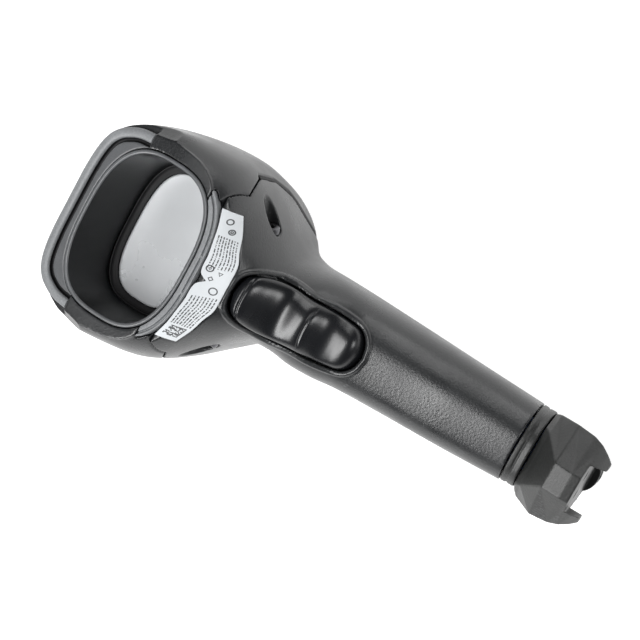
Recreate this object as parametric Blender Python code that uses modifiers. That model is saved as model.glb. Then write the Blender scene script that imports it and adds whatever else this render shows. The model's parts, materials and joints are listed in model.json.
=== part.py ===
"""Cordless handheld barcode scanner, lying on its back with its window and trigger up.

Every piece is drawn in the scanner's own frame, in millimetres turned to metres by MM: X is the width, Y runs
down the handle (a height is -Y, counted from just above the tips of the foot's lobes), and Z points out of
the trigger side. One empty turns that frame so that the back of the head and the heel of the foot rest on the
ground.
"""

import math

import bmesh
import bpy
from mathutils import Matrix, Vector

MM = 0.001

# Driving dimensions, in millimetres and degrees.
LIE_ANGLE = 8.0  # how far the handle slopes down to the foot when the scanner lies on its back
LIE_OFFSET = (0.0, 90.46, 17.67)  # the end of the handle's axis, over the middle of the footprint
GAP = 0.35  # running clearance between neighbouring pieces
WALL = 2.2
SEAM_HEIGHT = 27.8  # the end of the handle, where the foot begins
RIM_CENTRE = (160.0, 39.75)  # height and Z of the middle of the window's rim
RIM_DEPTH = 3.2  # thickness of the rim bumpers
RIM_FLANGE = 6.0  # how deep the shells are solid behind the rim
UPPER_BUMPER_LOW = 10.4  # how far above the middle of the rim the upper bumper ends
LOWER_BUMPER_LOW = 15.6  # how far below it the lower one ends
LIP = (26.7, 19.8, 3.2)  # half width, half height and squareness of the hood's mouth
LIP_WALL = 1.3
WINDOW = (20.0, 12.3, 3.4)
WINDOW_DEPTH = 25.0
MODULE_FRONT = WINDOW_DEPTH + 7.0  # the imager module, behind the window
MODULE_THICK = 9.0
MODULE_BACK = MODULE_FRONT + MODULE_THICK
MODULE_DEPTH = MODULE_FRONT + MODULE_THICK / 2
BOARD_DEPTH = WINDOW_DEPTH + 30.0
CELL_RADIUS = 9.1
CELL_LENGTH = 65.0
BORE_RADIUS = 10.6
CELL_BOTTOM = 12.0
PIVOT = (120.5, 19.6)  # height and Z of the trigger's pin
SWITCH_HEIGHT = 95.0
PIN_RADIUS = 1.5
PLUNGER_TOP = 12.0
PLUNGER_RADIUS = 1.5
SCREW_RECESS = (127.6, 15.0)  # height and Z of the two screw recesses in the flanks
BATTERY_SCREW_Z = -13.6
FOOT_SCREW_SEAT = 8.0  # height of the seat under the foot screw's head

# The outer form, from the handle's end to the top of the head: height, half width, front Z, back Z, Z of the
# widest line, and how square the front and the back halves are.
FORM = (
    (27.8, 13.8, 15.5, -16.4, 0.0, 2.3, 2.3),
    (50.0, 14.7, 16.0, -16.8, 0.0, 2.3, 2.3),
    (72.0, 15.4, 16.6, -17.4, -2.0, 2.4, 2.3),
    (88.0, 15.9, 17.8, -18.2, -3.0, 2.6, 2.3),
    (96.0, 16.4, 19.8, -18.8, -1.0, 2.7, 2.3),
    (104.0, 16.5, 22.6, -19.8, -1.0, 2.5, 2.3),
    (110.0, 16.1, 25.0, -21.4, -4.0, 2.3, 2.3),
    (114.0, 16.3, 27.0, -23.4, -8.0, 2.3, 2.2),
    (117.0, 17.0, 28.6, -25.0, -12.0, 2.3, 2.1),
    (120.0, 19.4, 30.2, -26.8, -17.0, 2.4, 2.1),
    (126.0, 24.6, 33.8, -30.0, -20.0, 2.8, 2.1),
    (132.0, 29.6, 38.4, -33.0, -14.0, 3.1, 2.1),
    (138.0, 33.2, 43.5, -35.6, -4.0, 3.5, 2.2),
    (145.0, 35.7, 46.5, -37.6, 6.0, 3.3, 2.3),
    (155.0, 36.3, 48.0, -38.6, 18.0, 3.1, 2.4),
    (165.0, 35.5, 47.5, -37.0, 32.0, 2.5, 2.4),
    (173.0, 33.1, 46.0, -31.5, 35.0, 2.6, 2.4),
    (179.0, 29.8, 44.5, -23.0, 35.0, 2.6, 2.3),
    (182.8, 26.2, 43.0, -12.0, 34.0, 2.6, 2.2),
    (185.2, 21.6, 41.5, 0.0, 32.0, 2.5, 2.2),
    (186.4, 16.5, 40.0, 11.0, 28.0, 2.4, 2.2),
)

# The seam between the upper cover and the main housing, seen from the side: height and Z, from the rim back
# to the neck. A gasket fills its second stretch.
SEAM_FRONT = ((144.2, 60.0), (143.4, 46.0), (136.6, 29.5), (138.8, 19.0))
SEAM_BACK = (
    (138.8, 17.0), (136.8, 4.0), (132.5, -6.0), (127.0, -12.5), (122.0, -18.0), (117.0, -26.0),
    (113.0, -45.0),
)
GASKET_HIGH = 1.25

# The trigger's outline: half width and height, from its upper end to its lower end.
TRIGGER_OUTLINE = (
    (0.0, 126.0), (4.9, 125.2), (7.5, 122.6), (8.9, 118.0), (9.2, 112.0), (8.6, 104.5), (8.7, 98.0),
    (8.2, 92.0), (7.0, 87.2), (4.0, 84.3), (0.0, 83.3),
)
# The trigger's face along its middle: height and Z, with its two finger hollows.
TRIGGER_FACE = (
    (83.3, 18.2), (87.0, 20.4), (92.0, 21.4), (97.0, 22.4), (101.5, 24.8), (106.0, 26.0), (111.0, 26.8),
    (117.0, 30.2), (122.0, 33.6), (126.0, 34.4),
)

# The label on the chin: its edges' heights at each half width, with a notch at the middle of the upper one.
LABEL_EDGES = (
    (0.0, 127.4, 133.6), (2.0, 127.6, 135.8), (8.0, 128.0, 136.3), (12.0, 129.6, 136.9),
    (17.0, 131.4, 137.8), (22.5, 134.2, 139.6),
)
LABEL_HALF = 22.5
LABEL_STEPS = 18

# The foot, from its top edge to the tips of its two lobes: height, half width of the front facet, its Z, half
# width of the foot, the Z of its widest corner, half width behind that, at FLANK_Z, half width of the heel,
# and the heel's Z.
FOOT = (
    (22.3, 10.4, 12.6, 13.9, 3.0, 12.4, 8.0, -16.6),
    (20.4, 9.4, 14.8, 15.0, 6.0, 12.7, 8.0, -17.6),
    (13.7, 4.4, 25.4, 16.2, 13.0, 12.5, 8.0, -18.8),
    (7.5, 4.3, 26.4, 15.6, 13.0, 11.0, 7.6, -18.9),
    (4.2, 4.3, 26.0, 14.4, 13.0, 9.6, 6.8, -18.4),
    (1.4, 4.3, 24.6, 12.6, 13.0, 8.0, 5.6, -17.4),
    (-1.0, 4.3, 22.4, 10.6, 13.0, 7.0, 4.6, -16.4),
)
FLANK_Z = -8.0
NOTCH_FLOOR = 4.2  # height of the charging face, in the notch between the two lobes
NOTCH_HALF = 8.3
HEEL_FRONT = -9.4  # Z where the notch ends at the heel
LOBE_BACK = 10.0  # Z where the two lobes end
FOOT_REACH = 40.0  # a Z in front of the whole foot
# The heel's lower end, seen from the front: half width and height.
HEEL_END = ((0.0, 1.3), (1.8, 1.5), (3.4, 2.1), (4.8, 3.0), (5.8, NOTCH_FLOOR))


# --- scene, materials and placing -------------------------------------------------------


def clear_scene():
    for old in list(bpy.data.objects):
        bpy.data.objects.remove(old, do_unlink=True)


def make_collection(name, hidden=False):
    collection = bpy.data.collections.new(name)
    bpy.context.scene.collection.children.link(collection)
    collection.hide_render = hidden
    return collection


def make_material(name, colour, roughness, metallic=0.0):
    material = bpy.data.materials.new(name)
    material.use_nodes = True
    shader = material.node_tree.nodes["Principled BSDF"]
    shader.inputs["Base Color"].default_value = (*colour, 1.0)
    shader.inputs["Roughness"].default_value = roughness
    shader.inputs["Metallic"].default_value = metallic
    return material


def point(x, height, z):
    """A place in the scanner's frame, from millimetres: width, height above the foot's end, and Z."""
    return Vector((x * MM, -height * MM, z * MM))


def rim_matrix(depth=0.0, rise=0.0):
    """The window's own frame: X across, Y up towards the top of the head's rim, Z out of the window."""
    turn = Matrix.Rotation(math.radians(LIE_ANGLE), 4, "X")
    flip = Matrix.Rotation(math.pi, 4, "Z")
    place = Matrix.Translation(point(0, *RIM_CENTRE))
    return place @ turn @ flip @ Matrix.Translation((0, rise * MM, -depth * MM))


def along_handle(x, height, z):
    """A frame whose Z runs up the handle from a place on it."""
    return Matrix.Translation(point(x, height, z)) @ Matrix.Rotation(math.pi / 2, 4, "X")


def add_object(name, mesh, collection, matrix=None, material=None):
    obj = bpy.data.objects.new(name, mesh)
    collection.objects.link(obj)
    obj.parent = lying_frame
    if matrix is not None:
        obj.matrix_local = matrix
    if material is not None:
        mesh.materials.append(material)
    if collection is cutters:
        obj.hide_render = True
        obj.display_type = "WIRE"
    return obj


def mesh_from(name, bm):
    bmesh.ops.recalc_face_normals(bm, faces=bm.faces)
    mesh = bpy.data.meshes.new(name)
    bm.to_mesh(mesh)
    bm.free()
    mesh.shade_smooth()
    mesh.set_sharp_from_angle(angle=math.radians(35))
    return mesh


# --- shapes -----------------------------------------------------------------------------


def box(name, size, matrix, collection, material=None, bevel=0.0):
    bm = bmesh.new()
    stretch = Matrix.Diagonal([side * MM for side in size] + [1.0])
    bmesh.ops.create_cube(bm, size=1.0, matrix=stretch)
    obj = add_object(name, mesh_from(name, bm), collection, matrix, material)
    if bevel:
        add_bevel(obj, bevel)
    return obj


def cylinder(name, radius, length, matrix, collection, material=None, sides=28, top_radius=None):
    """A round bar or cone from the matrix's origin along its Z."""
    bm = bmesh.new()
    top = radius if top_radius is None else top_radius
    bmesh.ops.create_cone(
        bm, cap_ends=True, segments=sides, radius1=radius * MM, radius2=top * MM, depth=length * MM,
        matrix=Matrix.Translation((0, 0, length * MM / 2)),
    )
    return add_object(name, mesh_from(name, bm), collection, matrix, material)


def turned(name, profile, matrix, collection, material=None, steps=32):
    """A turned piece: a closed profile of (radius, Z) pairs, listed down its outer side."""
    bm = bmesh.new()
    corners = [bm.verts.new((radius * MM, 0, z * MM)) for radius, z in profile]
    for first, second in zip(corners, corners[1:] + corners[:1]):
        bm.edges.new((first, second))
    mesh = bpy.data.meshes.new(name)
    bm.to_mesh(mesh)
    bm.free()
    obj = add_object(name, mesh, collection, matrix, material)
    screw = obj.modifiers.new("turn", "SCREW")
    screw.steps = steps
    screw.render_steps = steps
    screw.use_merge_vertices = True
    screw.merge_threshold = 0.00001
    return obj


def superellipse(half_width, half_height, squareness, count, grow=0.0):
    """Points round a rounded rectangle, anticlockwise from +X."""
    points = []
    for step in range(count):
        angle = 2 * math.pi * step / count
        c, s = math.cos(angle), math.sin(angle)
        x = math.copysign(abs(c) ** (2 / squareness), c) * (half_width + grow)
        y = math.copysign(abs(s) ** (2 / squareness), s) * (half_height + grow)
        points.append((x, y))
    return points


def loft(name, rings, collection, matrix=None, material=None):
    """A closed solid through rings of points in metres, with a flat face on each end."""
    bm = bmesh.new()
    rows = [[bm.verts.new(place) for place in ring] for ring in rings]
    count = len(rows[0])
    for lower, upper in zip(rows, rows[1:]):
        for i in range(count):
            j = (i + 1) % count
            bm.faces.new((lower[i], lower[j], upper[j], upper[i]))
    bm.faces.new(rows[0])
    bm.faces.new(rows[-1])
    return add_object(name, mesh_from(name, bm), collection, matrix, material)


def prism(name, outline, low, high, collection, matrix, material=None):
    """An outline in the matrix's XY, in millimetres, raised from low to high along its Z."""
    rings = [[Vector((x * MM, y * MM, z * MM)) for x, y in outline] for z in (low, high)]
    return loft(name, rings, collection, matrix, material)


def add_bevel(obj, width, segments=2, angle=40.0):
    bevel = obj.modifiers.new("edges", "BEVEL")
    bevel.width = width * MM
    bevel.segments = segments
    bevel.limit_method = "ANGLE"
    bevel.angle_limit = math.radians(angle)
    return obj


def boolean(obj, other, operation, solver="EXACT"):
    modifier = obj.modifiers.new(operation.lower(), "BOOLEAN")
    modifier.operation = operation
    modifier.object = other
    modifier.solver = solver
    return obj


def cut(obj, *others, solver="EXACT"):
    for other in others:
        boolean(obj, other, "DIFFERENCE", solver)
    return obj


def smooth_rows(rows, heights):
    """The rows' values at each height, on a smooth curve through the rows."""
    result = []
    for height in heights:
        k = max(i for i in range(len(rows) - 1) if i == 0 or rows[i][0] <= height)
        before, a, b, after = rows[max(k - 1, 0)], rows[k], rows[k + 1], rows[min(k + 2, len(rows) - 1)]
        span = b[0] - a[0]
        t = min(max((height - a[0]) / span, 0.0), 1.0)
        values = [height]
        for i in range(1, len(a)):
            slope_a = (b[i] - before[i]) / (b[0] - before[0]) * span
            slope_b = (after[i] - a[i]) / (after[0] - a[0]) * span
            values.append(
                a[i] * (2 * t**3 - 3 * t**2 + 1) + b[i] * (3 * t**2 - 2 * t**3)
                + slope_a * (t**3 - 2 * t**2 + t) + slope_b * (t**3 - t**2)
            )
        result.append(values)
    return result


def form_ring(row, count, inset=0.0):
    """One ring of the outer form, in the plane across the handle, drawn in by inset."""
    height, half_width, front, back, widest, square_front, square_back = row
    ring = []
    for step in range(count):
        angle = 2 * math.pi * step / count
        c, s = math.cos(angle), math.sin(angle)
        square = square_front if s > 0 else square_back
        reach = (front - inset - widest) if s > 0 else (widest - back - inset)
        x = math.copysign(abs(c) ** (2 / square), c) * (half_width - inset)
        z = widest + math.copysign(abs(s) ** (2 / square), s) * reach
        ring.append(point(x, height, z))
    return ring


def outer_form(name, collection, low, high, count=40, inset=0.0, material=None):
    heights = [row[0] for row in FORM if low < row[0] < high]
    heights = [low] + heights + [high]
    rows = smooth_rows(FORM, heights)
    return loft(name, [form_ring(row, count, inset) for row in rows], collection, None, material)


# --- cutters shared by several pieces ---------------------------------------------------


def side_prism(name, outline, half_width=60.0):
    """An outline of (height, Z) pairs, as wide as the scanner: a cutter seen from its side."""
    rings = [[point(x, height, z) for height, z in outline] for x in (-half_width, half_width)]
    return loft(name, rings, cutters)


def above_seam(name, shift):
    """All that lies above the seam, moved up by shift."""
    line = [(height + shift, z) for height, z in SEAM_FRONT + SEAM_BACK]
    return side_prism(name, line + [(260.0, -60.0), (260.0, 60.0)])


def rim_half_space(name, depth):
    """All that stands in front of a plane this deep behind the rim's face."""
    return box(name, (160.0, 160.0, 60.0), rim_matrix(depth) @ Matrix.Translation((0, 0, 30 * MM)), cutters)


def hood_rings(grow, depths, count=36):
    """The funnel's rings at these depths behind the rim, straight in front of it, grown outwards."""
    rings = []
    for depth in depths:
        share = max(depth, 0.0) / WINDOW_DEPTH
        size = [LIP[i] + (WINDOW[i] - LIP[i]) * share for i in range(3)]
        outline = superellipse(*size, count, grow)
        rings.append([Vector((x * MM, y * MM, -depth * MM)) for x, y in outline])
    return rings


# --- head -------------------------------------------------------------------------------


def make_upper_cover():
    cover = outer_form("upper_cover", parts, 110.0, FORM[-1][0], material=dark_shell)
    cavity = outer_form("cover_cavity", cutters, 100.0, FORM[-1][0] - 3.0, inset=WALL)
    cut(cavity, rim_half_space("cover_flange", RIM_FLANGE))
    below = side_prism(
        "below_seam",
        [(height + GAP / 2, z) for height, z in SEAM_FRONT]
        + [(height + GASKET_HIGH + GAP, z) for height, z in SEAM_BACK]
        + [(20.0, -60.0), (20.0, 60.0)],
    )
    face = rim_half_space("cover_face", 0.0)
    mouth = loft("cover_mouth", hood_rings(LIP_WALL + GAP, (-20.0, 0.0, 30.0)), cutters, rim_matrix())
    cut(cover, cavity, below, face, mouth, *rim_seats, solver="MANIFOLD")
    hole = cylinder("indicator_hole", 2.9, 14.0, along_handle(0, 176.0, 8.0), cutters, sides=20)
    cut(cover, hole, solver="MANIFOLD")


def rim_seat(name, outline, low, high):
    return prism(name, outline, low, high, cutters, rim_matrix())


def arch(half_width, up, squareness, low_height, count=25):
    """The part of a rounded rectangle's edge above a height, from its right end to its left one."""
    reach = half_width * (1.0 - (low_height / up) ** squareness) ** (1 / squareness)
    start = math.acos((reach / half_width) ** (squareness / 2))
    places = []
    for step in range(count):
        angle = start + (math.pi - 2 * start) * step / (count - 1)
        c, s = math.cos(angle), math.sin(angle)
        x = math.copysign(abs(c) ** (2 / squareness), c) * half_width
        places.append((x, s ** (2 / squareness) * up))
    return places


def bumper_outline(half_width, up, squareness, low_height, inner):
    """A band round the upper part of the rim: an outer arch, and back along an inner one."""
    return arch(half_width, up, squareness, low_height) + arch(*inner, low_height)[::-1]


def make_rim_bumpers():
    inner = (LIP[0] + LIP_WALL + GAP, LIP[1] + LIP_WALL + GAP, LIP[2])
    upper = bumper_outline(42.0, 40.0, 3.2, UPPER_BUMPER_LOW, inner)
    lower = [(x, -y) for x, y in bumper_outline(29.5, 23.6, 2.9, LOWER_BUMPER_LOW, inner)]
    lower.reverse()
    band = prism("upper_rim_bumper", upper, -RIM_DEPTH, 0.0, parts, rim_matrix(), rim_rubber)
    boolean(band, outer_form("bumper_trim", cutters, 110.0, FORM[-1][0]), "INTERSECT")
    prism("lower_rim_bumper", lower, -RIM_DEPTH, 0.25, parts, rim_matrix(), rim_rubber)


def make_rim_seats():
    """The steps that the two bumpers sit in, a gap larger than they are."""
    wide = (LIP[0] - 4.0, LIP[1] - 4.0, LIP[2])
    upper = bumper_outline(44.0, 42.0, 3.2, UPPER_BUMPER_LOW - GAP, wide)
    lower = [(x, -y) for x, y in bumper_outline(34.0, 34.0, 2.9, LOWER_BUMPER_LOW - GAP, wide)]
    lower.reverse()
    return [
        rim_seat("upper_bumper_seat", upper, -RIM_DEPTH - GAP, 30.0),
        rim_seat("lower_bumper_seat", lower, -RIM_DEPTH - GAP, 30.0),
    ]


def make_hood():
    hood = loft("hood", hood_rings(LIP_WALL, (0.3, WINDOW_DEPTH)), parts, rim_matrix(), hood_black)
    inside = loft("hood_inside", hood_rings(0.0, (-5.0, 0.0, WINDOW_DEPTH + 4.0)), cutters, rim_matrix())
    cut(hood, inside)


def make_window():
    ring = superellipse(*WINDOW, 40, LIP_WALL)
    place = rim_matrix(WINDOW_DEPTH)
    seal = prism("window_seal", ring, -2.6, -GAP, parts, place, rubber)
    opening = prism("seal_opening", superellipse(*WINDOW, 40, -1.0), -8.0, 3.0, cutters, place)
    seat = prism("seal_seat", superellipse(*WINDOW, 40, 0.2), -2.1, -0.9, cutters, place)
    cut(seal, opening, seat)
    prism("window", superellipse(*WINDOW, 40, -0.15), -1.75, -1.25, parts, place, glass)


def make_imager():
    """The camera module on its bracket, behind the window."""
    bracket = box("imager_bracket", (38.0, 22.0, 15.0), rim_matrix(MODULE_DEPTH), parts, steel)
    pocket = box("bracket_pocket", (35.6, 19.6, 20.0), rim_matrix(MODULE_BACK + GAP - 10.0), cutters)
    sides = box("bracket_sides", (29.0, 40.0, 8.0), rim_matrix(MODULE_DEPTH - 1.5), cutters)
    flex_slot = box("bracket_slot", (11.0, 9.0, 12.0), rim_matrix(MODULE_BACK + 2.0, 8.0), cutters)
    cut(bracket, pocket, sides, flex_slot)
    body = box("imager_module", (34.8, 18.6, MODULE_THICK), rim_matrix(MODULE_DEPTH), parts, board_black, 0.4)
    lens_well = cylinder("lens_well", 5.2, 6.0, rim_matrix(MODULE_FRONT + 2.2), cutters)
    cut(body, lens_well)
    seat = rim_matrix(MODULE_FRONT + 2.2 - GAP)
    barrel = ((4.8, 3.6), (4.8, 0.0), (3.4, 0.0), (3.4, 3.0), (3.0, 3.6))
    turned("lens_barrel", barrel, seat, parts, board_black)
    lens = ((0.0, 2.6), (1.6, 2.4), (3.05, 1.8), (3.05, 0.2), (0.0, 0.2))
    turned("camera_lens", lens, seat, parts, glass)
    face = rim_matrix(MODULE_FRONT - GAP)
    dome = ((0.0, 3.2), (1.9, 2.6), (3.0, 1.2), (3.2, 0.0), (0.0, 0.0))
    for side, name in ((1, "left_lamp"), (-1, "right_lamp")):
        shift = Matrix.Translation((side * 12.4 * MM, 0, 0))
        turned(name, dome, face @ shift, parts, lamp_clear, steps=20)
    aimer_place = face @ Matrix.Translation((7.4 * MM, 5.2 * MM, 0))
    tube = ((2.1, 3.4), (2.1, 0.0), (1.1, 0.0), (1.1, 3.4))
    turned("aimer_tube", tube, aimer_place, parts, board_black, steps=20)


def make_boards():
    """The main board across the back of the head, and what is on it."""
    level = BOARD_DEPTH
    board = box("main_board", (44.0, 26.0, 1.2), rim_matrix(level, -3.0), parts, board_green)
    for side in (-1, 1):
        hole = cylinder(f"board_hole_{side}", 1.3, 6.0, rim_matrix(level + 3.0, -3.0)
                        @ Matrix.Translation((side * 19.0 * MM, 0, 0)), cutters, sides=16)
        cut(board, hole)
    face = level - 0.6 - GAP
    shield_place = rim_matrix(face - 1.1, -1.0) @ Matrix.Translation((-4 * MM, 0, 0))
    box("decoder_shield", (15.0, 14.0, 2.2), shield_place, parts, steel, 0.3)
    radio_place = rim_matrix(face - 1.0, -1.0) @ Matrix.Translation((11 * MM, 0, 0))
    box("radio_module", (9.0, 15.0, 2.0), radio_place, parts, board_green)
    cylinder("beeper", 5.6, 4.0, rim_matrix(level + 0.6 + GAP + 4.0, -3.0), parts, board_black, sides=24)
    under = 0.6 + GAP
    screw = ((2.2, 2.2), (2.2, under), (0.95, under), (0.95, -4.0), (0.0, -4.0), (0.0, 2.2))
    for side, name in ((1, "left_board_screw"), (-1, "right_board_screw")):
        place = rim_matrix(level, -3.0) @ Matrix.Translation((side * 19.0 * MM, 0, 0))
        turned(name, screw, place, parts, steel, steps=16)


def make_flex():
    """A flat cable from the back of the imager module down to the main board."""
    start = MODULE_BACK + GAP
    finish = BOARD_DEPTH - 0.6 - GAP
    run = ((4.0, start), (9.0, start + 0.3), (11.6, start + 2.2), (11.6, finish - 2.2), (9.5, finish - 0.5),
           (7.6, finish - 0.15))
    thick = 0.3
    front = [(y, -depth) for y, depth in run]
    normals = []
    for i in range(len(front)):
        a, b = front[max(i - 1, 0)], front[min(i + 1, len(front) - 1)]
        along = Vector((b[0] - a[0], b[1] - a[1])).normalized()
        normals.append((along.y, -along.x))
    rows = []
    for side in (-4.5, 4.5):
        behind = [(y - n[0] * thick, z - n[1] * thick) for (y, z), n in zip(front, normals)]
        rows.append([Vector((side * MM, y * MM, z * MM)) for y, z in front + behind[::-1]])
    loft("imager_flex", rows, parts, rim_matrix(), flex_amber)


def make_indicator():
    place = along_handle(0, 176.5, 8.0)
    pipe = ((2.5, 9.6), (2.5, 3.0), (3.6, 3.0), (3.6, 1.0), (0.0, 1.0), (0.0, 10.4), (1.5, 10.2))
    turned("indicator_light", pipe, place, parts, lamp_clear, steps=24)


# --- housing ----------------------------------------------------------------------------


def trigger_outline(grow, count=None):
    """The trigger's outline, both sides, grown outwards."""
    middle = 105.0
    half = []
    for width, height in TRIGGER_OUTLINE:
        end = 1 if height > middle else -1
        near_end = min(1.0, abs(width) / 6.0)
        half.append((width + grow * near_end, height + grow * end * (1.0 - near_end * 0.7)))
    return half + [(-width, height) for width, height in half[-2:0:-1]]


def trigger_prism(name, grow, low, high):
    rings = [[point(width, height, z) for width, height in trigger_outline(grow)] for z in (low, high)]
    return loft(name, rings, cutters)


def screw_frame(side):
    """A screw recess's frame: its Z comes out of the flank of the chin."""
    height, z = SCREW_RECESS
    lean = Matrix.Rotation(side * math.radians(70.0), 4, "Y") @ Matrix.Rotation(math.radians(14.0), 4, "X")
    return Matrix.Translation(point(side * 17.0, height, z)) @ lean


def make_main_housing():
    housing = outer_form("main_housing", parts, SEAM_HEIGHT, 150.0, material=grey_shell)
    cavity = outer_form("housing_cavity", cutters, 84.0, 160.0, inset=WALL)
    cut(cavity, rim_half_space("housing_flange", RIM_FLANGE))
    bore = cylinder("battery_bore", BORE_RADIUS, 80.0, along_handle(0, 20.0, 0), cutters, sides=36)
    above = above_seam("above_seam", -GAP / 2)
    face = rim_half_space("housing_face", 0.0)
    mouth = loft("housing_mouth", hood_rings(LIP_WALL + GAP, (-20.0, 0.0, 30.0)), cutters, rim_matrix())
    opening = trigger_prism("trigger_opening", 0.6, 5.0, 60.0)
    # The exact solver loses this thin, many-sided shell at its fifth cut.
    cut(housing, cavity, bore, above, face, mouth, rim_seats[1], opening, solver="MANIFOLD")
    for side in (-1, 1):
        levels = (-3.0, 2.5, -15.0)
        foot, seat, through = (screw_frame(side) @ Matrix.Translation((0, 0, z * MM)) for z in levels)
        boss = cylinder(f"screw_boss_{side}", 6.6, 17.0, foot, cutters, sides=24)
        trim = outer_form(f"boss_trim_{side}", cutters, 100.0, 160.0, count=40, inset=0.6)
        boolean(boss, trim, "INTERSECT")
        boolean(housing, boss, "UNION", "MANIFOLD")
        recess = cylinder(f"screw_recess_{side}", 3.5, 30.0, seat, cutters, sides=24, top_radius=3.7)
        shank = cylinder(f"shank_hole_{side}", 1.6, 30.0, through, cutters, sides=16)
        cut(housing, recess, shank, solver="MANIFOLD")
    screw_place = along_handle(0, 24.0, BATTERY_SCREW_Z)
    screw = cylinder("battery_screw_hole", 1.4, 14.0, screw_place, cutters, sides=16)
    cut(housing, screw, label_pocket(0.6, GAP), solver="MANIFOLD")


def chin_z(x, height):
    """The Z of the outer form's front at a width and a height."""
    _, half_width, front, _, widest, square, _ = smooth_rows(FORM, [height])[0]
    share = max(1.0 - abs(x / half_width) ** square, 0.0)
    return widest + (front - widest) * share ** (1 / square)


def chin_sheet(name, grow, under, over, collection, material=None):
    """A sheet along the chin within the label's outline, from one level under its surface to one over it."""
    columns = []
    for step in range(-LABEL_STEPS, LABEL_STEPS + 1):
        x = step / LABEL_STEPS * (LABEL_HALF + grow)
        _, low, high = smooth_rows(LABEL_EDGES, [min(abs(x), LABEL_HALF)])[0]
        columns.append((x, low - grow, high + grow))
    rings = []
    for x, low, high in columns:
        heights = [low + (high - low) * i / 4 for i in range(5)]
        top = [point(x, height, chin_z(x, height) + over) for height in heights]
        bottom = [point(x, height, chin_z(x, height) - under) for height in reversed(heights)]
        rings.append(top + bottom)
    return loft(name, rings, collection, None, material)


def label_pocket(depth, grow):
    return chin_sheet("label_pocket", grow, depth, 4.0, cutters)


def make_label():
    chin_sheet("label", 0.0, 0.25, -0.1, parts, label_white)


def make_housing_screws():
    under, top = 2.5 + GAP, 4.8
    profile = ((2.9, top), (2.9, under), (1.2, under), (1.2, -5.5), (0.0, -5.5), (0.0, top))
    for side, name in ((-1, "left_housing_screw"), (1, "right_housing_screw")):
        screw = turned(name, profile, screw_frame(side), parts, steel, steps=20)
        drive = screw_frame(side) @ Matrix.Translation((0, 0, top * MM))
        slot = box(f"{name}_slot", (4.2, 0.8, 2.4), drive, cutters)
        cross = box(f"{name}_cross", (0.8, 4.2, 2.4), drive, cutters)
        cut(screw, slot, cross)


def make_gasket():
    """The dark strip that follows the back half of the seam."""
    gasket = outer_form("seam_gasket", parts, 104.0, 143.0, inset=0.25, material=rubber)
    cavity = outer_form("gasket_cavity", cutters, 100.0, 150.0, inset=WALL - 0.3)
    under = [(height + GAP / 2, z) for height, z in SEAM_BACK]
    over = [(height + GASKET_HIGH, z) for height, z in reversed(SEAM_BACK)]
    boolean(gasket, side_prism("gasket_band", under + over), "INTERSECT")
    cut(gasket, cavity)


# --- trigger ----------------------------------------------------------------------------


def pivot_matrix(shift):
    """The trigger pin's frame: its Z runs along the pin, from a place this far along it."""
    turn = Matrix.Rotation(math.pi / 2, 4, "Y")
    return Matrix.Translation(point(0, *PIVOT)) @ turn @ Matrix.Translation((0, 0, shift * MM))


def make_trigger():
    """A crowned two-finger trigger with the eye of its pivot, hung on its pin."""
    pivot_height, pivot_z = PIVOT
    rings = []
    heights = (
        83.3, 84.6, 86.8, 89.0, 92.0, 95.0, 98.0, 101.0, 104.5, 108.0, 111.0, 114.0, 117.0, 120.0, 122.5,
        124.6, 126.0,
    )
    widths = smooth_rows([(height, width) for width, height in reversed(TRIGGER_OUTLINE)], heights)
    faces = smooth_rows(TRIGGER_FACE, heights)
    for (height, width), (_, z) in zip(widths, faces):
        width = max(width, 1.6)
        thick = 5.0 if width > 4 else 3.2
        skirt = 1.1 if 99.0 < height < 115.0 else 0.6
        ring = []
        for x, y in superellipse(width, thick, 2.6, 20):
            place = point(x, height, z - thick + (y if y > 0 else y * skirt))
            ring.append(place - point(0, pivot_height, pivot_z))
        rings.append(ring)
    home = Matrix.Translation(point(0, pivot_height, pivot_z))
    trigger = loft("trigger", rings, parts, home, trigger_black)
    eye = cylinder("trigger_eye", 3.4, 9.0, pivot_matrix(-4.5), cutters, sides=24)
    web = box("trigger_web", (7.0, 6.4, 11.0), home @ Matrix.Translation((0, 0, 4.5 * MM)), cutters)
    nose_place = Matrix.Translation(point(0, SWITCH_HEIGHT, PLUNGER_TOP + GAP + 3.8))
    nose = box("trigger_nose", (5.0, 3.6, 7.6), nose_place, cutters)
    boolean(trigger, eye, "UNION")
    boolean(trigger, web, "UNION")
    boolean(trigger, nose, "UNION")
    hole = cylinder("trigger_hole", PIN_RADIUS + GAP, 30.0, pivot_matrix(-15.0), cutters, sides=20)
    cut(trigger, hole)


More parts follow.
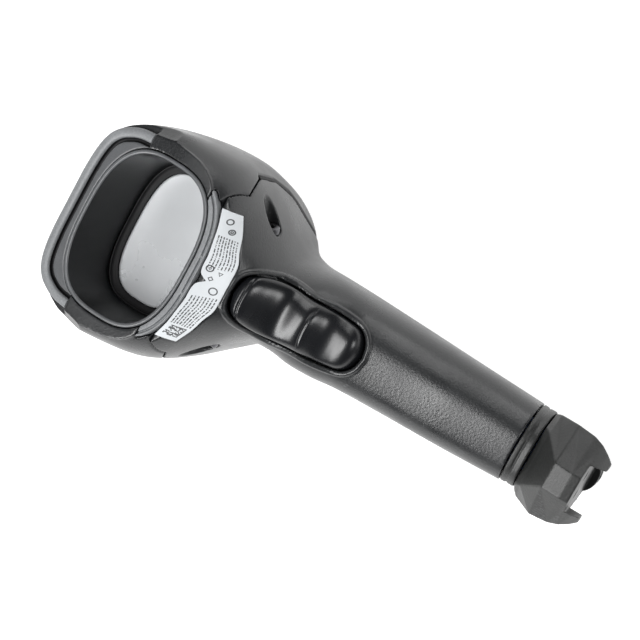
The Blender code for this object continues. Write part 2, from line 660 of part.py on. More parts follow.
def make_trigger_works():
    """The bracket, pin, spring, board, switch and plunger behind the trigger."""
    cylinder("trigger_pin", PIN_RADIUS, 17.6, pivot_matrix(-8.8), parts, steel, sides=20)
    bracket_place = Matrix.Translation(point(0, 109.5, 13.4))
    bracket = box("trigger_bracket", (18.0, 30.0, 20.0), bracket_place, parts, dark_shell)
    inside_place = bracket_place @ Matrix.Translation((0, 0, 4 * MM))
    inside = box("bracket_inside", (13.4, 40.0, 22.0), inside_place, cutters)
    slope = side_prism(
        "bracket_slope",
        [(85.0, 8.0), (112.0, 10.5), (117.5, 22.6), (128.0, 22.6), (128.0, 60.0), (85.0, 60.0)],
    )
    pin_hole = cylinder("bracket_pin_hole", PIN_RADIUS + GAP, 30.0, pivot_matrix(-15.0), cutters, sides=20)
    cut(bracket, inside, slope, pin_hole)
    box("trigger_board", (12.0, 18.0, 1.0), Matrix.Translation(point(0, 97.5, 7.2)), parts, board_green)
    switch_place = Matrix.Translation(point(0, SWITCH_HEIGHT, 9.35))
    switch = box("trigger_switch", (6.0, 6.0, 2.6), switch_place, parts, board_black)
    well_place = Matrix.Translation(point(0, SWITCH_HEIGHT, 8.35))
    well = cylinder("switch_well", PLUNGER_RADIUS + GAP, 6.0, well_place, cutters, sides=20)
    cut(switch, well)
    plunger_place = Matrix.Translation(point(0, SWITCH_HEIGHT, PLUNGER_TOP - 2.0))
    cylinder("switch_plunger", PLUNGER_RADIUS, 2.0, plunger_place, parts, steel, sides=20)
    make_coil("trigger_spring", 2.2, 0.35, 6, 8.5, Matrix.Translation(point(0, 111.0, 7.1)), steel)


def make_coil(name, radius, wire, turns, length, matrix, material):
    """A compression spring along the matrix's Z."""
    curve = bpy.data.curves.new(name, "CURVE")
    curve.dimensions = "3D"
    curve.bevel_depth = wire * MM
    curve.bevel_resolution = 1
    curve.use_fill_caps = True
    spline = curve.splines.new("POLY")
    steps = int(turns * 12)
    spline.points.add(steps)
    for step in range(steps + 1):
        angle = 2 * math.pi * step / 12
        rise = length * step / steps
        x, y = radius * math.cos(angle), radius * math.sin(angle)
        spline.points[step].co = (x * MM, y * MM, rise * MM, 1.0)
    obj = bpy.data.objects.new(name, curve)
    parts.objects.link(obj)
    curve.materials.append(material)
    obj.parent = lying_frame
    obj.matrix_local = matrix
    return obj


# --- battery and foot -------------------------------------------------------------------


def make_battery():
    cell_place = along_handle(0, CELL_BOTTOM, 0)
    cell = cylinder("battery_cell", CELL_RADIUS, CELL_LENGTH, cell_place, parts, cell_wrap, sides=36)
    add_bevel(cell, 0.5)
    carrier_low = FOOT[0][0] + GAP
    carrier_length = CELL_BOTTOM + CELL_LENGTH + 1.5 - carrier_low
    carrier_place = along_handle(0, carrier_low, 0)
    carrier = cylinder(
        "battery_carrier", BORE_RADIUS - GAP, carrier_length, carrier_place, parts, dark_shell, sides=36
    )
    space = cylinder("carrier_space", CELL_RADIUS + GAP, 90.0, along_handle(0, 5.0, 0), cutters, sides=36)
    front = box("carrier_front", (40.0, 200.0, 20.0), Matrix.Translation(point(0, 60.0, 11.0)), cutters)
    cut(carrier, space, front)
    disc = cylinder("contact_board", 9.6, 1.0, along_handle(0, 83.0, 0), parts, board_green, sides=28)
    trim = box("disc_trim", (40.0, 20.0, 20.0), Matrix.Translation(point(0, 83.0, 16.6)), cutters)
    cut(disc, trim)
    for side, name in ((-1, "left_contact_spring"), (1, "right_contact_spring")):
        make_coil(name, 1.5, 0.3, 3, 3.6, along_handle(side * 4.0, 79.0, 0), brass)


def foot_ring(row):
    height, front_half, front, half_width, widest, flank_half, heel_half, heel = row
    half = [(front_half, front), (half_width, widest), (flank_half, FLANK_Z), (heel_half, heel)]
    outline = half + [(-x, z) for x, z in reversed(half)]
    return [point(x, height, z) for x, z in outline]


def foot_underside():
    """The cutters under the foot: the notch between its two lobes, and what is round the heel's end."""

    def slot(half_width):
        corners = ((1, -20.0), (1, NOTCH_FLOOR), (-1, NOTCH_FLOOR), (-1, -20.0))
        return [(half_width * x, height) for x, height in corners]

    heel = [(-x, height) for x, height in reversed(HEEL_END)] + list(HEEL_END[1:])
    beyond = [(20.0, NOTCH_FLOOR), (20.0, -20.0), (-20.0, -20.0), (-20.0, NOTCH_FLOOR)]
    cutters_made = []
    for name, outline, low, high in (
        ("foot_notch", slot(NOTCH_HALF), HEEL_FRONT, FOOT_REACH),
        ("behind_lobes", slot(20.0), HEEL_FRONT, LOBE_BACK),
        ("round_heel", heel + beyond, -FOOT_REACH, HEEL_FRONT),
    ):
        rings = [[point(x, height, z) for x, height in outline] for z in (low, high)]
        cutters_made.append(loft(name, rings, cutters))
    return cutters_made


def make_foot():
    foot = loft("foot", [foot_ring(row) for row in FOOT], parts, None, foot_grey)
    add_bevel(foot, 0.9, 2, 12.0)
    well_place = along_handle(0, CELL_BOTTOM - 1.5, 0)
    well = cylinder("cell_well", CELL_RADIUS + GAP, 40.0, well_place, cutters, sides=36)
    shank_place = along_handle(0, -10.0, BATTERY_SCREW_Z)
    shank = cylinder("foot_shank_hole", 1.4, 60.0, shank_place, cutters, sides=16)
    head_place = along_handle(0, FOOT_SCREW_SEAT - 30.0, BATTERY_SCREW_Z)
    head = cylinder("foot_head_recess", 2.6, 30.0, head_place, cutters, sides=20)
    cut(foot, *foot_underside(), well, shank, head)
    for side, name in ((-1, "left_charge_contact"), (1, "right_charge_contact")):
        place = along_handle(side * 3.2, NOTCH_FLOOR, 12.0)
        pocket_place = place @ Matrix.Translation((0, 0, -1 * MM))
        pocket = cylinder(f"{name}_pocket", 1.3 + GAP, 4.0, pocket_place, cutters, sides=16)
        cut(foot, pocket)
        cylinder(name, 1.3, 2.4, place @ Matrix.Translation((0, 0, 0.3 * MM)), parts, brass, sides=16)


def make_collar():
    """The dark ring over the foot, with the spigot that enters the handle."""
    rows = ((22.3 + GAP, 13.5), (27.8 - GAP, 13.6))
    rings = []
    for height, half in rows:
        rings.append([point(x, height, z * 1.13 - 0.4) for x, z in superellipse(half, half, 2.3, 36)])
    collar = loft("collar", rings, parts, None, dark_shell)
    hole = cylinder("collar_hole", BORE_RADIUS, 60.0, along_handle(0, 5.0, 0), cutters, sides=36)
    shank_place = along_handle(0, 0.0, BATTERY_SCREW_Z)
    shank = cylinder("collar_shank_hole", 1.4, 60.0, shank_place, cutters, sides=16)
    cut(collar, hole, shank)


def make_foot_screw():
    seat = Matrix.Translation(point(0, FOOT_SCREW_SEAT, BATTERY_SCREW_Z))
    down = seat @ Matrix.Rotation(-math.pi / 2, 4, "X")
    profile = ((2.2, 2.4), (2.2, GAP), (1.0, GAP), (1.0, -28.0), (0.0, -28.0), (0.0, 2.4))
    screw = turned("foot_screw", profile, down, parts, steel, steps=16)
    slot = box("foot_screw_slot", (3.4, 0.7, 2.0), down @ Matrix.Translation((0, 0, 2.4 * MM)), cutters)
    cut(screw, slot)


# --- assembly ---------------------------------------------------------------------------

clear_scene()
parts = make_collection("barcode_scanner")
cutters = make_collection("cutters", hidden=True)

lying_frame = bpy.data.objects.new("lying_frame", None)
parts.objects.link(lying_frame)
lying_frame.location = [value * MM for value in LIE_OFFSET]
lying_frame.rotation_euler = (-math.radians(LIE_ANGLE), 0, 0)

grey_shell = make_material("grey_shell", (0.055, 0.057, 0.06), 0.45)
dark_shell = make_material("dark_shell", (0.03, 0.031, 0.033), 0.45)
rim_rubber = make_material("rim_rubber", (0.13, 0.135, 0.14), 0.7)
rubber = make_material("rubber", (0.012, 0.012, 0.013), 0.7)
hood_black = make_material("hood_black", (0.006, 0.006, 0.007), 0.5)
glass = make_material("glass", (0.35, 0.37, 0.39), 0.08)
label_white = make_material("label_white", (0.8, 0.8, 0.8), 0.6)
trigger_black = make_material("trigger_black", (0.01, 0.01, 0.012), 0.25)
foot_grey = make_material("foot_grey", (0.05, 0.05, 0.052), 0.5)
steel = make_material("steel", (0.55, 0.55, 0.56), 0.3, 1.0)
brass = make_material("brass", (0.75, 0.6, 0.3), 0.3, 1.0)
board_green = make_material("board_green", (0.02, 0.12, 0.05), 0.5)
board_black = make_material("board_black", (0.02, 0.02, 0.02), 0.5)
lamp_clear = make_material("lamp_clear", (0.8, 0.82, 0.85), 0.1)
flex_amber = make_material("flex_amber", (0.5, 0.25, 0.05), 0.4)
cell_wrap = make_material("cell_wrap", (0.1, 0.16, 0.3), 0.4)

rim_seats = make_rim_seats()
make_upper_cover()
make_rim_bumpers()
make_hood()
make_window()
make_imager()
make_boards()
make_flex()
make_indicator()
make_main_housing()
make_label()
make_housing_screws()
make_gasket()
make_trigger()
make_trigger_works()
make_battery()
make_foot()
make_collar()
make_foot_screw()
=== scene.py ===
import json
import math
import random

import bmesh
import bpy
import numpy as np
from mathutils import Matrix, Vector


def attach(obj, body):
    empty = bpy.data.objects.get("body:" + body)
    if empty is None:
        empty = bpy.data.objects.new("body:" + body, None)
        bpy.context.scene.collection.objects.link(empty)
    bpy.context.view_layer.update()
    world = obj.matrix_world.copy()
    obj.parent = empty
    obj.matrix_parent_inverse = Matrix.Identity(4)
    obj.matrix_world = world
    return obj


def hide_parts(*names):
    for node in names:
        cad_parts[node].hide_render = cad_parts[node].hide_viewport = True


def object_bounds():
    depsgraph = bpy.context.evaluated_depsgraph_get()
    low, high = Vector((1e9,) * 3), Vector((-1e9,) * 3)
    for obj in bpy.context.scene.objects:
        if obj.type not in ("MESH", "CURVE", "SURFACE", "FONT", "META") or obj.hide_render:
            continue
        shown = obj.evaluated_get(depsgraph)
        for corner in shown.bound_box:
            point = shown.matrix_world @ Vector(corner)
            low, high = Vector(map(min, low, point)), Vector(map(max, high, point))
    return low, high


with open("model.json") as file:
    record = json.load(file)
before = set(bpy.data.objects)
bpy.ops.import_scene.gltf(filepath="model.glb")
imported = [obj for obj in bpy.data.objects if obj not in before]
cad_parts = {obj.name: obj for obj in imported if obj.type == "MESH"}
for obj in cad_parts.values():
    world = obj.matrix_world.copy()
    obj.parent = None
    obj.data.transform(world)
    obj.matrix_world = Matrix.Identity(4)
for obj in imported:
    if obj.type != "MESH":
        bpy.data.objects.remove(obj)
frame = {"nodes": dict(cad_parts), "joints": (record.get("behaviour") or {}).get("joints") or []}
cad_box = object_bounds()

# Lengths are in mm. Height runs from the foot to the head, Z towards the window and the trigger.
MM = 0.001
FINE = 0.36  # voxel size of the two shells
GAP = 0.35  # clearance between pieces
WALL = 2.2  # thickness of the two shells
SKIN = 0.08  # how far the smooth skin lies inside the CAD form's tables
SEAM_HEIGHT = 27.8  # where the handle meets the collar
RIM_CENTRE = (160.0, 39.75)  # height and Z of the middle of the window's rim
RIM_DEPTH = 3.2  # depth of the bumpers in the rim
RIM_FLANGE = 6.0  # thickness of the shells under the rim
UPPER_BUMPER_LOW = 10.4  # where each bumper ends, from the rim's middle
LOWER_BUMPER_LOW = 15.6
LIP = (26.3, 19.0, 2.75)  # half width, half height and squareness of the hood's mouth
LIP_WALL = 1.3
RIM_CUT_INNER = (LIP[0] - 3.0, LIP[1] - 2.0, LIP[2])
FUNNEL_END = (24.6, 15.8, 3.0)  # the same of the hood's inner end
PANE = (22.1, 13.3, 3.0)  # the same of the window pane
WINDOW_DEPTH = 25.0
BORE_RADIUS = 10.6
PIVOT = (120.5, 19.6)  # height and Z of the trigger's pin
SWITCH_HEIGHT = 95.0
PLUNGER_TOP = 12.0
SCREW_RECESS = (127.6, 15.0)  # height and Z
BATTERY_SCREW_Z = -13.6
FOOT_SCREW_SEAT = 8.0
CELL_RADIUS = 9.1
CELL_BOTTOM = 12.0

# Half width and height of the rim's outer edge above its middle, from the claws to the crown.
RIM_EDGE = (
    (35.0, 0.5), (32.9, 3.0), (31.9, 7.0), (31.3, 11.0), (31.0, 14.0), (30.4, 16.5), (29.2, 19.2),
    (27.2, 22.2), (23.6, 24.9), (18.2, 26.4), (10.0, 27.1), (0.0, 27.2),
)
RIM_SLOPE = ((5.2, -9.0), (0.6, -1.2), (0.0, 0.0), (0.0, 3.0))  # distance from that edge, and Z
# Distance from the rim's edge, and Z, round the upper bumper's section.
BUMPER_PROFILE = (
    (0.15, -3.2), (0.15, -1.5), (0.4, -0.95), (0.95, -0.6), (1.9, -0.5), (2.8, -0.6), (3.2, -0.9),
    (3.4, -1.5), (3.5, -2.7), (4.8, -2.7), (4.8, -3.2),
)
LOWER_BUMPER = (29.5, 23.6)  # half width and reach of the lower bumper
RIM_SQUARE = 2.9  # its squareness
# Half width and height of a claw's outer edge, then its inner corners.
CLAW = (
    (31.9, 7.0), (32.6, 3.5), (32.5, 0.0), (32.1, -3.5), (31.5, -7.0), (30.3, -10.2), (28.5, -12.9),
    (26.4, -14.8), (18.0, -15.2), (18.0, 10.4), (31.3, 10.4),
)
CLAW_RISE = ((-3.0, -6.0), (-0.9, -2.6), (0.0, -1.6), (0.0, 0.4))  # distance from that edge, and Z

# Height, half width, front Z, back Z, Z of the widest line, squareness of the front and of the back.
FORM = (
    (27.8, 13.8, 15.5, -16.4, 0.0, 2.3, 2.3),
    (50.0, 14.7, 16.0, -16.8, 0.0, 2.3, 2.3),
    (72.0, 15.4, 16.6, -17.4, -2.0, 2.4, 2.3),
    (88.0, 15.9, 17.8, -18.2, -3.0, 2.6, 2.3),
    (96.0, 16.4, 19.8, -18.8, -1.0, 2.7, 2.3),
    (104.0, 16.5, 22.6, -19.8, -1.0, 2.5, 2.3),
    (110.0, 16.1, 25.0, -21.4, -4.0, 2.3, 2.3),
    (114.0, 16.3, 27.0, -23.4, -8.0, 2.3, 2.2),
    (117.0, 17.0, 28.6, -25.0, -12.0, 2.3, 2.1),
    (120.0, 19.4, 30.2, -26.8, -17.0, 2.4, 2.1),
    (126.0, 24.6, 33.8, -30.0, -20.0, 2.8, 2.1),
    (132.0, 29.6, 38.4, -33.0, -14.0, 3.1, 2.1),
    (138.0, 33.2, 43.5, -35.6, -4.0, 3.5, 2.2),
    (145.0, 35.7, 46.5, -37.6, 6.0, 3.3, 2.3),
    (155.0, 36.3, 48.0, -38.6, 18.0, 3.1, 2.4),
    (165.0, 35.5, 47.5, -37.0, 32.0, 2.5, 2.4),
    (173.0, 33.1, 46.0, -31.5, 35.0, 2.6, 2.4),
    (179.0, 29.8, 44.5, -23.0, 35.0, 2.6, 2.3),
    (182.8, 26.2, 43.0, -12.0, 34.0, 2.6, 2.2),
    (185.2, 21.6, 41.5, 0.0, 32.0, 2.5, 2.2),
    (186.4, 16.5, 40.0, 11.0, 28.0, 2.4, 2.2),
)
# Height and Z of the seam between the shells, before and behind the middle.
SEAM_FRONT = ((144.2, 60.0), (143.4, 46.0), (136.6, 29.5), (138.8, 19.0))
SEAM_BACK = (
    (138.8, 17.0), (136.8, 4.0), (132.5, -6.0), (127.0, -12.5), (122.0, -18.0), (117.0, -26.0),
    (113.0, -45.0),
)
GASKET_HIGH = 1.25
# Half width and height of the trigger's edge.
TRIGGER_OUTLINE = (
    (0.0, 126.0), (4.9, 125.2), (7.5, 122.6), (8.9, 118.0), (9.2, 112.0), (8.6, 104.5), (8.7, 98.0),
    (8.2, 92.0), (7.0, 87.2), (4.0, 84.3), (0.0, 83.3),
)
# Height and Z of the trigger's front.
TRIGGER_FACE = (
    (83.3, 18.2), (87.0, 20.4), (92.0, 21.4), (97.0, 22.4), (101.5, 24.8), (106.0, 26.0), (111.0, 26.8),
    (117.0, 30.2), (122.0, 33.6), (126.0, 34.4),
)
TRIGGER_HOLLOWS = ((1.1, 112.5, 5.0), (0.95, 94.3, 4.4))  # depth, height and reach
TRIGGER_RIDGE = (0.5, 103.2, 2.5)
TRIGGER_GROOVES = (122.6, 102.2)  # heights
TRIGGER_GAP = 0.45
TRIGGER_LIP = (0.75, 0.95)  # height and half width of the raised lip round the trigger
TRIGGER_WAIST = (104.5, 6.0)  # height and reach of the place where that lip is low
# X, and the heights of the label's two long edges there.
LABEL_EDGES = (
    (0.0, 127.4, 133.6), (2.0, 127.6, 135.8), (8.0, 128.0, 136.3), (12.0, 129.6, 136.9),
    (17.0, 131.4, 137.8), (22.5, 134.2, 139.6),
)
LABEL_HALF = 22.5
LABEL_UNDER = 0.1  # how far the label's face lies under the chin's form
INK_UNDER = 0.085
TEXT_ROWS = 8
CODE_COUNT = 11  # squares along each side of the code
CODE_LEFT = 17.1
CODE_PITCH = 0.36
CODE_SQUARE = 0.34
# X, height, radius, sides and thickness of each mark.
LABEL_MARKS = (
    (2.2, 130.6, 1.3, 24, 0.36), (-4.2, 134.2, 1.15, 24, 0.36), (-4.2, 134.2, 0.5, 4, 0.3),
    (-1.2, 132.8, 0.85, 4, 0.36), (-3.7, 131.0, 0.85, 3, 0.36), (-16.9, 134.0, 0.95, 24, 0.36),
    (-16.9, 134.0, 0.45, 24, 0.3), (-19.6, 135.8, 1.0, 24, 0.36),
)
# Height, half width and Z of the front, half width and Z of the sides, half width of the flanks and of the
# heel, and the heel's Z.
FOOT = (
    (22.3, 10.4, 12.6, 13.9, 3.0, 12.4, 8.0, -16.6),
    (20.4, 9.4, 14.8, 15.0, 6.0, 12.7, 8.0, -17.6),
    (13.7, 4.4, 25.4, 16.2, 13.0, 12.5, 8.0, -18.8),
    (7.5, 4.3, 26.4, 15.6, 13.0, 11.0, 7.6, -18.9),
    (4.2, 4.3, 26.0, 14.4, 13.0, 9.6, 6.8, -18.4),
    (1.4, 4.3, 24.6, 12.6, 13.0, 8.0, 5.6, -17.4),
    (-0.85, 4.3, 22.4, 10.6, 13.0, 7.0, 4.6, -16.4),
)
FLANK_Z = -8.0
NOTCH_FLOOR = 4.2
NOTCH_HALF = 8.3
HEEL_FRONT = -9.4
LOBE_BACK = 10.0
# X and height of the heel's lower edge.
HEEL_END = ((0.0, 1.3), (1.8, 1.5), (3.4, 2.1), (4.8, 3.0), (5.8, NOTCH_FLOOR))

# The view: the way to the camera, the level line and the rising one across it, as width, height and Z.
VIEW = (0.17947, -0.17364, 0.96832)
VIEW_LEVEL = (0.98325, 0.0, -0.18224)
VIEW_RISING = (0.031646, 0.98481, 0.17074)
VIEW_ROLL = 30.724
VIEW_TARGET = (0.456, 103.486, 0.0)
VIEW_DISTANCE = 0.8
VIEW_LENS = 139.8
LIGHTS = (  # name, place, size and power of each area light
    ("strip_right", (0.47, -0.1, 0.9), (0.28, 1.6), 20.0),
    ("low_left", (-1.0, 0.0, 0.14), (0.24, 1.8), 6.5),
    ("foot_left", (-0.3, 1.0, 0.5), (0.3, 0.3), 3.0),
    ("head_end", (0.0, -1.0, 0.5), (1.0, 0.4), 3.0),
)
LIGHT_AIM = (0.0, 0.0, 0.03)

scene = bpy.context.scene
joints = {joint["name"]: joint for joint in frame["joints"]}
TILT = math.asin(joints["battery_foot_slide"]["axis"][2])
LYING = (
    Matrix.Translation(joints["trigger_press"]["pos_m"]) @ Matrix.Rotation(TILT, 4, "X")
    @ Matrix.Translation((0, PIVOT[0] * MM, -PIVOT[1] * MM))
)


# --- places and temporary solids ------------------------------------------------


def point(x, height, z):
    return Vector((x * MM, -height * MM, z * MM))


def rim_matrix(depth=0.0):
    """The window's own frame: X across, Y up the rim, Z out of the window."""
    turn = Matrix.Rotation(-TILT, 4, "X") @ Matrix.Rotation(math.pi, 4, "Z")
    return Matrix.Translation(point(0, *RIM_CENTRE)) @ turn @ Matrix.Translation((0, 0, -depth * MM))


def along_handle(x, height, z):
    return Matrix.Translation(point(x, height, z)) @ Matrix.Rotation(math.pi / 2, 4, "X")


def solid_from(bm, matrix=None):
    bmesh.ops.recalc_face_normals(bm, faces=bm.faces)
    mesh = bpy.data.meshes.new("work")
    bm.to_mesh(mesh)
    bm.free()
    obj = bpy.data.objects.new("work", mesh)
    scene.collection.objects.link(obj)
    mesh.transform(LYING @ (matrix or Matrix()))
    return obj


def loft(rings, matrix=None, closed=False):
    """A solid through rings of points. A closed one joins its last ring to its first."""
    bm = bmesh.new()
    rows = [[bm.verts.new(place) for place in ring] for ring in rings]
    count = len(rows[0])
    pairs = list(zip(rows, rows[1:])) + ([(rows[-1], rows[0])] if closed else [])
    for lower, upper in pairs:
        for i in range(count):
            j = (i + 1) % count
            bm.faces.new((lower[i], lower[j], upper[j], upper[i]))
    if not closed:
        bm.faces.new(rows[0])
        bm.faces.new(rows[-1])
    return solid_from(bm, matrix)


def block(size, matrix):
    bm = bmesh.new()
    bmesh.ops.create_cube(bm, size=1.0, matrix=Matrix.Diagonal([value * MM for value in size] + [1.0]))
    return solid_from(bm, matrix)


def rod(radius, length, matrix, sides=64, top_radius=None):
    bm = bmesh.new()
    bmesh.ops.create_cone(
        bm, cap_ends=True, segments=sides, radius1=radius * MM,
        radius2=(radius if top_radius is None else top_radius) * MM, depth=length * MM,
        matrix=Matrix.Translation((0, 0, length * MM / 2)),
    )
    return solid_from(bm, matrix)


def turned(profile, matrix, steps=48):
    """A solid of revolution round the matrix's Z, from a closed profile of (radius, Z)."""
    rings = []
    for step in range(steps):
        angle = 2 * math.pi * step / steps
        c, s = math.cos(angle), math.sin(angle)
        rings.append([Vector((max(r, 0.001) * MM * c, max(r, 0.001) * MM * s, z * MM)) for r, z in profile])
    return loft(rings, matrix, closed=True)


def flat_ring(outline, z):
    return [Vector((x * MM, y * MM, z * MM)) for x, y in outline]


def prism(outline, low, high, matrix):
    return loft([flat_ring(outline, z) for z in (low, high)], matrix)


def side_prism(outline, half_width=60.0):
    return loft([[point(x, height, z) for height, z in outline] for x in (-half_width, half_width)])


def front_prism(outline, low, high):
    """An outline of (x, height) raised from one Z to another."""
    return loft([[point(x, height, z) for x, height in outline] for z in (low, high)])


def settle(obj):
    """Turns an object's modifiers into its mesh."""
    graph = bpy.context.evaluated_depsgraph_get()
    mesh = bpy.data.meshes.new_from_object(obj.evaluated_get(graph), depsgraph=graph)
    obj.modifiers.clear()
    obj.data = mesh


def combine(obj, others, operation="DIFFERENCE", solver="MANIFOLD"):
    for other in others:
        modifier = obj.modifiers.new("combine", "BOOLEAN")
        modifier.operation = operation
        modifier.object = other
        modifier.solver = solver
        settle(obj)
        bpy.data.objects.remove(other, do_unlink=True)
    return obj


def soften(obj, voxel, rounds=4):
    """An even, dense skin with its edges rounded, as a moulded piece has."""
    remesh = obj.modifiers.new("skin", "REMESH")
    remesh.mode = "VOXEL"
    remesh.voxel_size = voxel * MM
    remesh.use_smooth_shade = True
    smooth = obj.modifiers.new("round", "SMOOTH")
    smooth.factor = 0.5
    smooth.iterations = rounds
    settle(obj)


def shift_vertices(obj, amount):
    """Moves each vertex along its normal by amount(places, normals), in the scanner's millimetres."""
    mesh = obj.data
    count = len(mesh.vertices)
    places = np.empty(count * 3, np.float32)
    normals = np.empty(count * 3, np.float32)
    mesh.vertices.foreach_get("co", places)
    mesh.vertices.foreach_get("normal", normals)
    places = places.reshape(-1, 3).astype(float)
    normals = normals.reshape(-1, 3).astype(float)
    back = np.array(LYING.inverted())
    local = (places @ back[:3, :3].T + back[:3, 3]) / MM
    facing = normals @ back[:3, :3].T
    local[:, 1] *= -1
    facing[:, 1] *= -1
    places += normals * (amount(local, facing)[:, None] * MM)
    mesh.vertices.foreach_set("co", places.astype(np.float32).ravel())
    mesh.update()


def finish_piece(obj, name, material, slot, *nodes, body="scanner", smooth=True):
    obj.name = name
    obj.data.name = name
    obj.data.materials.clear()
    obj.data.materials.append(material)
    if smooth:
        obj.data.shade_smooth()
    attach(obj, body)
    if nodes:
        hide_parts(*nodes)


def superellipse(half_width, half_height, squareness, count, grow=0.0):
    points = []
    for step in range(count):
        angle = 2 * math.pi * step / count
        c, s = math.cos(angle), math.sin(angle)
        points.append((
            math.copysign(abs(c) ** (2 / squareness), c) * (half_width + grow),
            math.copysign(abs(s) ** (2 / squareness), s) * (half_height + grow),
        ))
    return points


def smooth_rows(rows, heights):
    """The rows' values at each height, on a smooth curve through them."""
    result = []
    for height in heights:
        k = max(i for i in range(len(rows) - 1) if i == 0 or rows[i][0] <= height)
        before, a, b, after = rows[max(k - 1, 0)], rows[k], rows[k + 1], rows[min(k + 2, len(rows) - 1)]
        span = b[0] - a[0]
        t = min(max((height - a[0]) / span, 0.0), 1.0)
        values = [height]
        for i in range(1, len(a)):
            slope_a = (b[i] - before[i]) / (b[0] - before[0]) * span
            slope_b = (after[i] - a[i]) / (after[0] - a[0]) * span
            values.append(
                a[i] * (2 * t**3 - 3 * t**2 + 1) + b[i] * (3 * t**2 - 2 * t**3)
                + slope_a * (t**3 - 2 * t**2 + t) + slope_b * (t**3 - t**2)
            )
        result.append(values)
    return result


def spread(low, high, step):
    count = max(int((high - low) / step), 2)
    return [low + (high - low) * i / count for i in range(count + 1)]


def form_ring(row, count, inset):
    height, half_width, front, back, widest, square_front, square_back = row
    ring = []
    for step in range(count):
        angle = 2 * math.pi * step / count
        c, s = math.cos(angle), math.sin(angle)
        square = square_front if s > 0 else square_back
        reach = (front - inset - widest) if s > 0 else (widest - back - inset)
        x = math.copysign(abs(c) ** (2 / square), c) * (half_width - inset)
        ring.append(point(x, height, widest + math.copysign(abs(s) ** (2 / square), s) * reach))
    return ring


def outer_form(low, high, inset=0.0, step=1.2, count=144):
    rows = smooth_rows(FORM, spread(low, high, step))
    return loft([form_ring(row, count, inset + SKIN) for row in rows])


def above_seam(shift):
    line = [(height + shift, z) for height, z in SEAM_FRONT + SEAM_BACK]
    return side_prism(line + [(260.0, -60.0), (260.0, 60.0)])


def rim_half_space(depth):
    return block((160.0, 160.0, 60.0), rim_matrix(depth) @ Matrix.Translation((0, 0, 30 * MM)))


def hood_rings(grow, depths, count=96):
    rings = []
    for depth in depths:
        share = max(depth, 0.0) / WINDOW_DEPTH
        size = [LIP[i] + (FUNNEL_END[i] - LIP[i]) * share for i in range(3)]
        rings.append(flat_ring(superellipse(*size, count, grow), -depth))
    return rings


def arch(half_width, up, squareness, low_height, count=61):
    """The part of a superellipse above a height, from right to left."""
    reach = half_width * (1.0 - (low_height / up) ** squareness) ** (1 / squareness)
    start = math.acos((reach / half_width) ** (squareness / 2))
    places = []
    for step in range(count):
        angle = start + (math.pi - 2 * start) * step / (count - 1)
        c, s = math.cos(angle), math.sin(angle)
        x = math.copysign(abs(c) ** (2 / squareness), c) * half_width
        places.append((x, s ** (2 / squareness) * up))
    return places


def bumper_outline(half_width, up, squareness, low_height, inner):
    return arch(half_width, up, squareness, low_height) + arch(*inner, low_height)[::-1]


def lower_outline(*sizes):
    outline = [(x, -y) for x, y in bumper_outline(*sizes)]
    outline.reverse()
    return outline


def offset_outline(outline, grow):
    """A counter-clockwise outline moved outwards."""
    grown = []
    for i, (x, y) in enumerate(outline):
        (ax, ay), (bx, by) = outline[i - 1], outline[(i + 1) % len(outline)]
        length = math.hypot(bx - ax, by - ay)
        grown.append((x + (by - ay) / length * grow, y - (bx - ax) / length * grow))
    return grown


def smooth_line(pairs, steps):
    """Points along a smooth curve through the pairs."""
    rows = [(float(i), *pair) for i, pair in enumerate(pairs)]
    shares = [i * (len(pairs) - 1) / steps for i in range(steps + 1)]
    return [tuple(row[1:]) for row in smooth_rows(rows, shares)]


def rim_edge():
    half = smooth_line(RIM_EDGE, 60)
    return half + [(-x, y) for x, y in half[-2::-1]]


def rim_shoulder():
    """What lies outside the rim's edge, with a slope under it."""
    outline = [(60.0, -40.0), (60.0, -6.0), *rim_edge(), (-60.0, -6.0), (-60.0, -40.0)]
    far = [(x * 4, y * 4) for x, y in outline]
    rings = [flat_ring(offset_outline(outline, grow), z) for grow, z in RIM_SLOPE]
    rings += [flat_ring(far, z) for z in (RIM_SLOPE[-1][1], RIM_SLOPE[0][1])]
    return loft(rings, rim_matrix(), closed=True)


def chin_z(x, height):
    """Z of the form's front."""
    _, half_width, front, _, widest, square, _ = smooth_rows(FORM, [height])[0]
    share = max(1.0 - abs(x / half_width) ** square, 0.0)
    return widest + (front - widest) * share ** (1 / square)


def outline_distance(outline, x, y):
    """Distance from each place to a closed outline, negative inside it."""
    near = np.full(len(x), 1e9)
    inside = np.zeros(len(x), bool)
    for (ax, ay), (bx, by) in zip(outline, outline[1:] + outline[:1]):
        dx, dy = bx - ax, by - ay
        share = np.clip(((x - ax) * dx + (y - ay) * dy) / (dx * dx + dy * dy), 0, 1)
        near = np.minimum(near, np.hypot(x - ax - share * dx, y - ay - share * dy))
        crosses = ((ay > y) != (by > y)) & (x < ax + (y - ay) * dx / (dy if dy else 1e-9))
        inside ^= crosses
    return np.where(inside, -near, near)


def trigger_outline(grow, steps=48):
    """The trigger's outline on a smooth curve, both sides, grown outwards."""
    half = smooth_line(TRIGGER_OUTLINE, steps)
    grown = []
    for i, (width, height) in enumerate(half):
        before, after = half[max(i - 1, 0)], half[min(i + 1, steps)]
        if i in (0, steps):
            normal = Vector((0.0, 1.0 if i == 0 else -1.0))
        else:
            along = Vector((after[0] - before[0], after[1] - before[1])).normalized()
            normal = Vector((-along.y, along.x))
        grown.append((max(width + normal.x * grow, 0.0), height + normal.y * grow))
    return grown + [(-width, height) for width, height in grown[-2:0:-1]]


def screw_frame(side):
    height, z = SCREW_RECESS
    lean = Matrix.Rotation(side * math.radians(70.0), 4, "Y") @ Matrix.Rotation(math.radians(14.0), 4, "X")
    return Matrix.Translation(point(side * 17.0, height, z)) @ lean


# --- materials ---------------------------------------------------------------


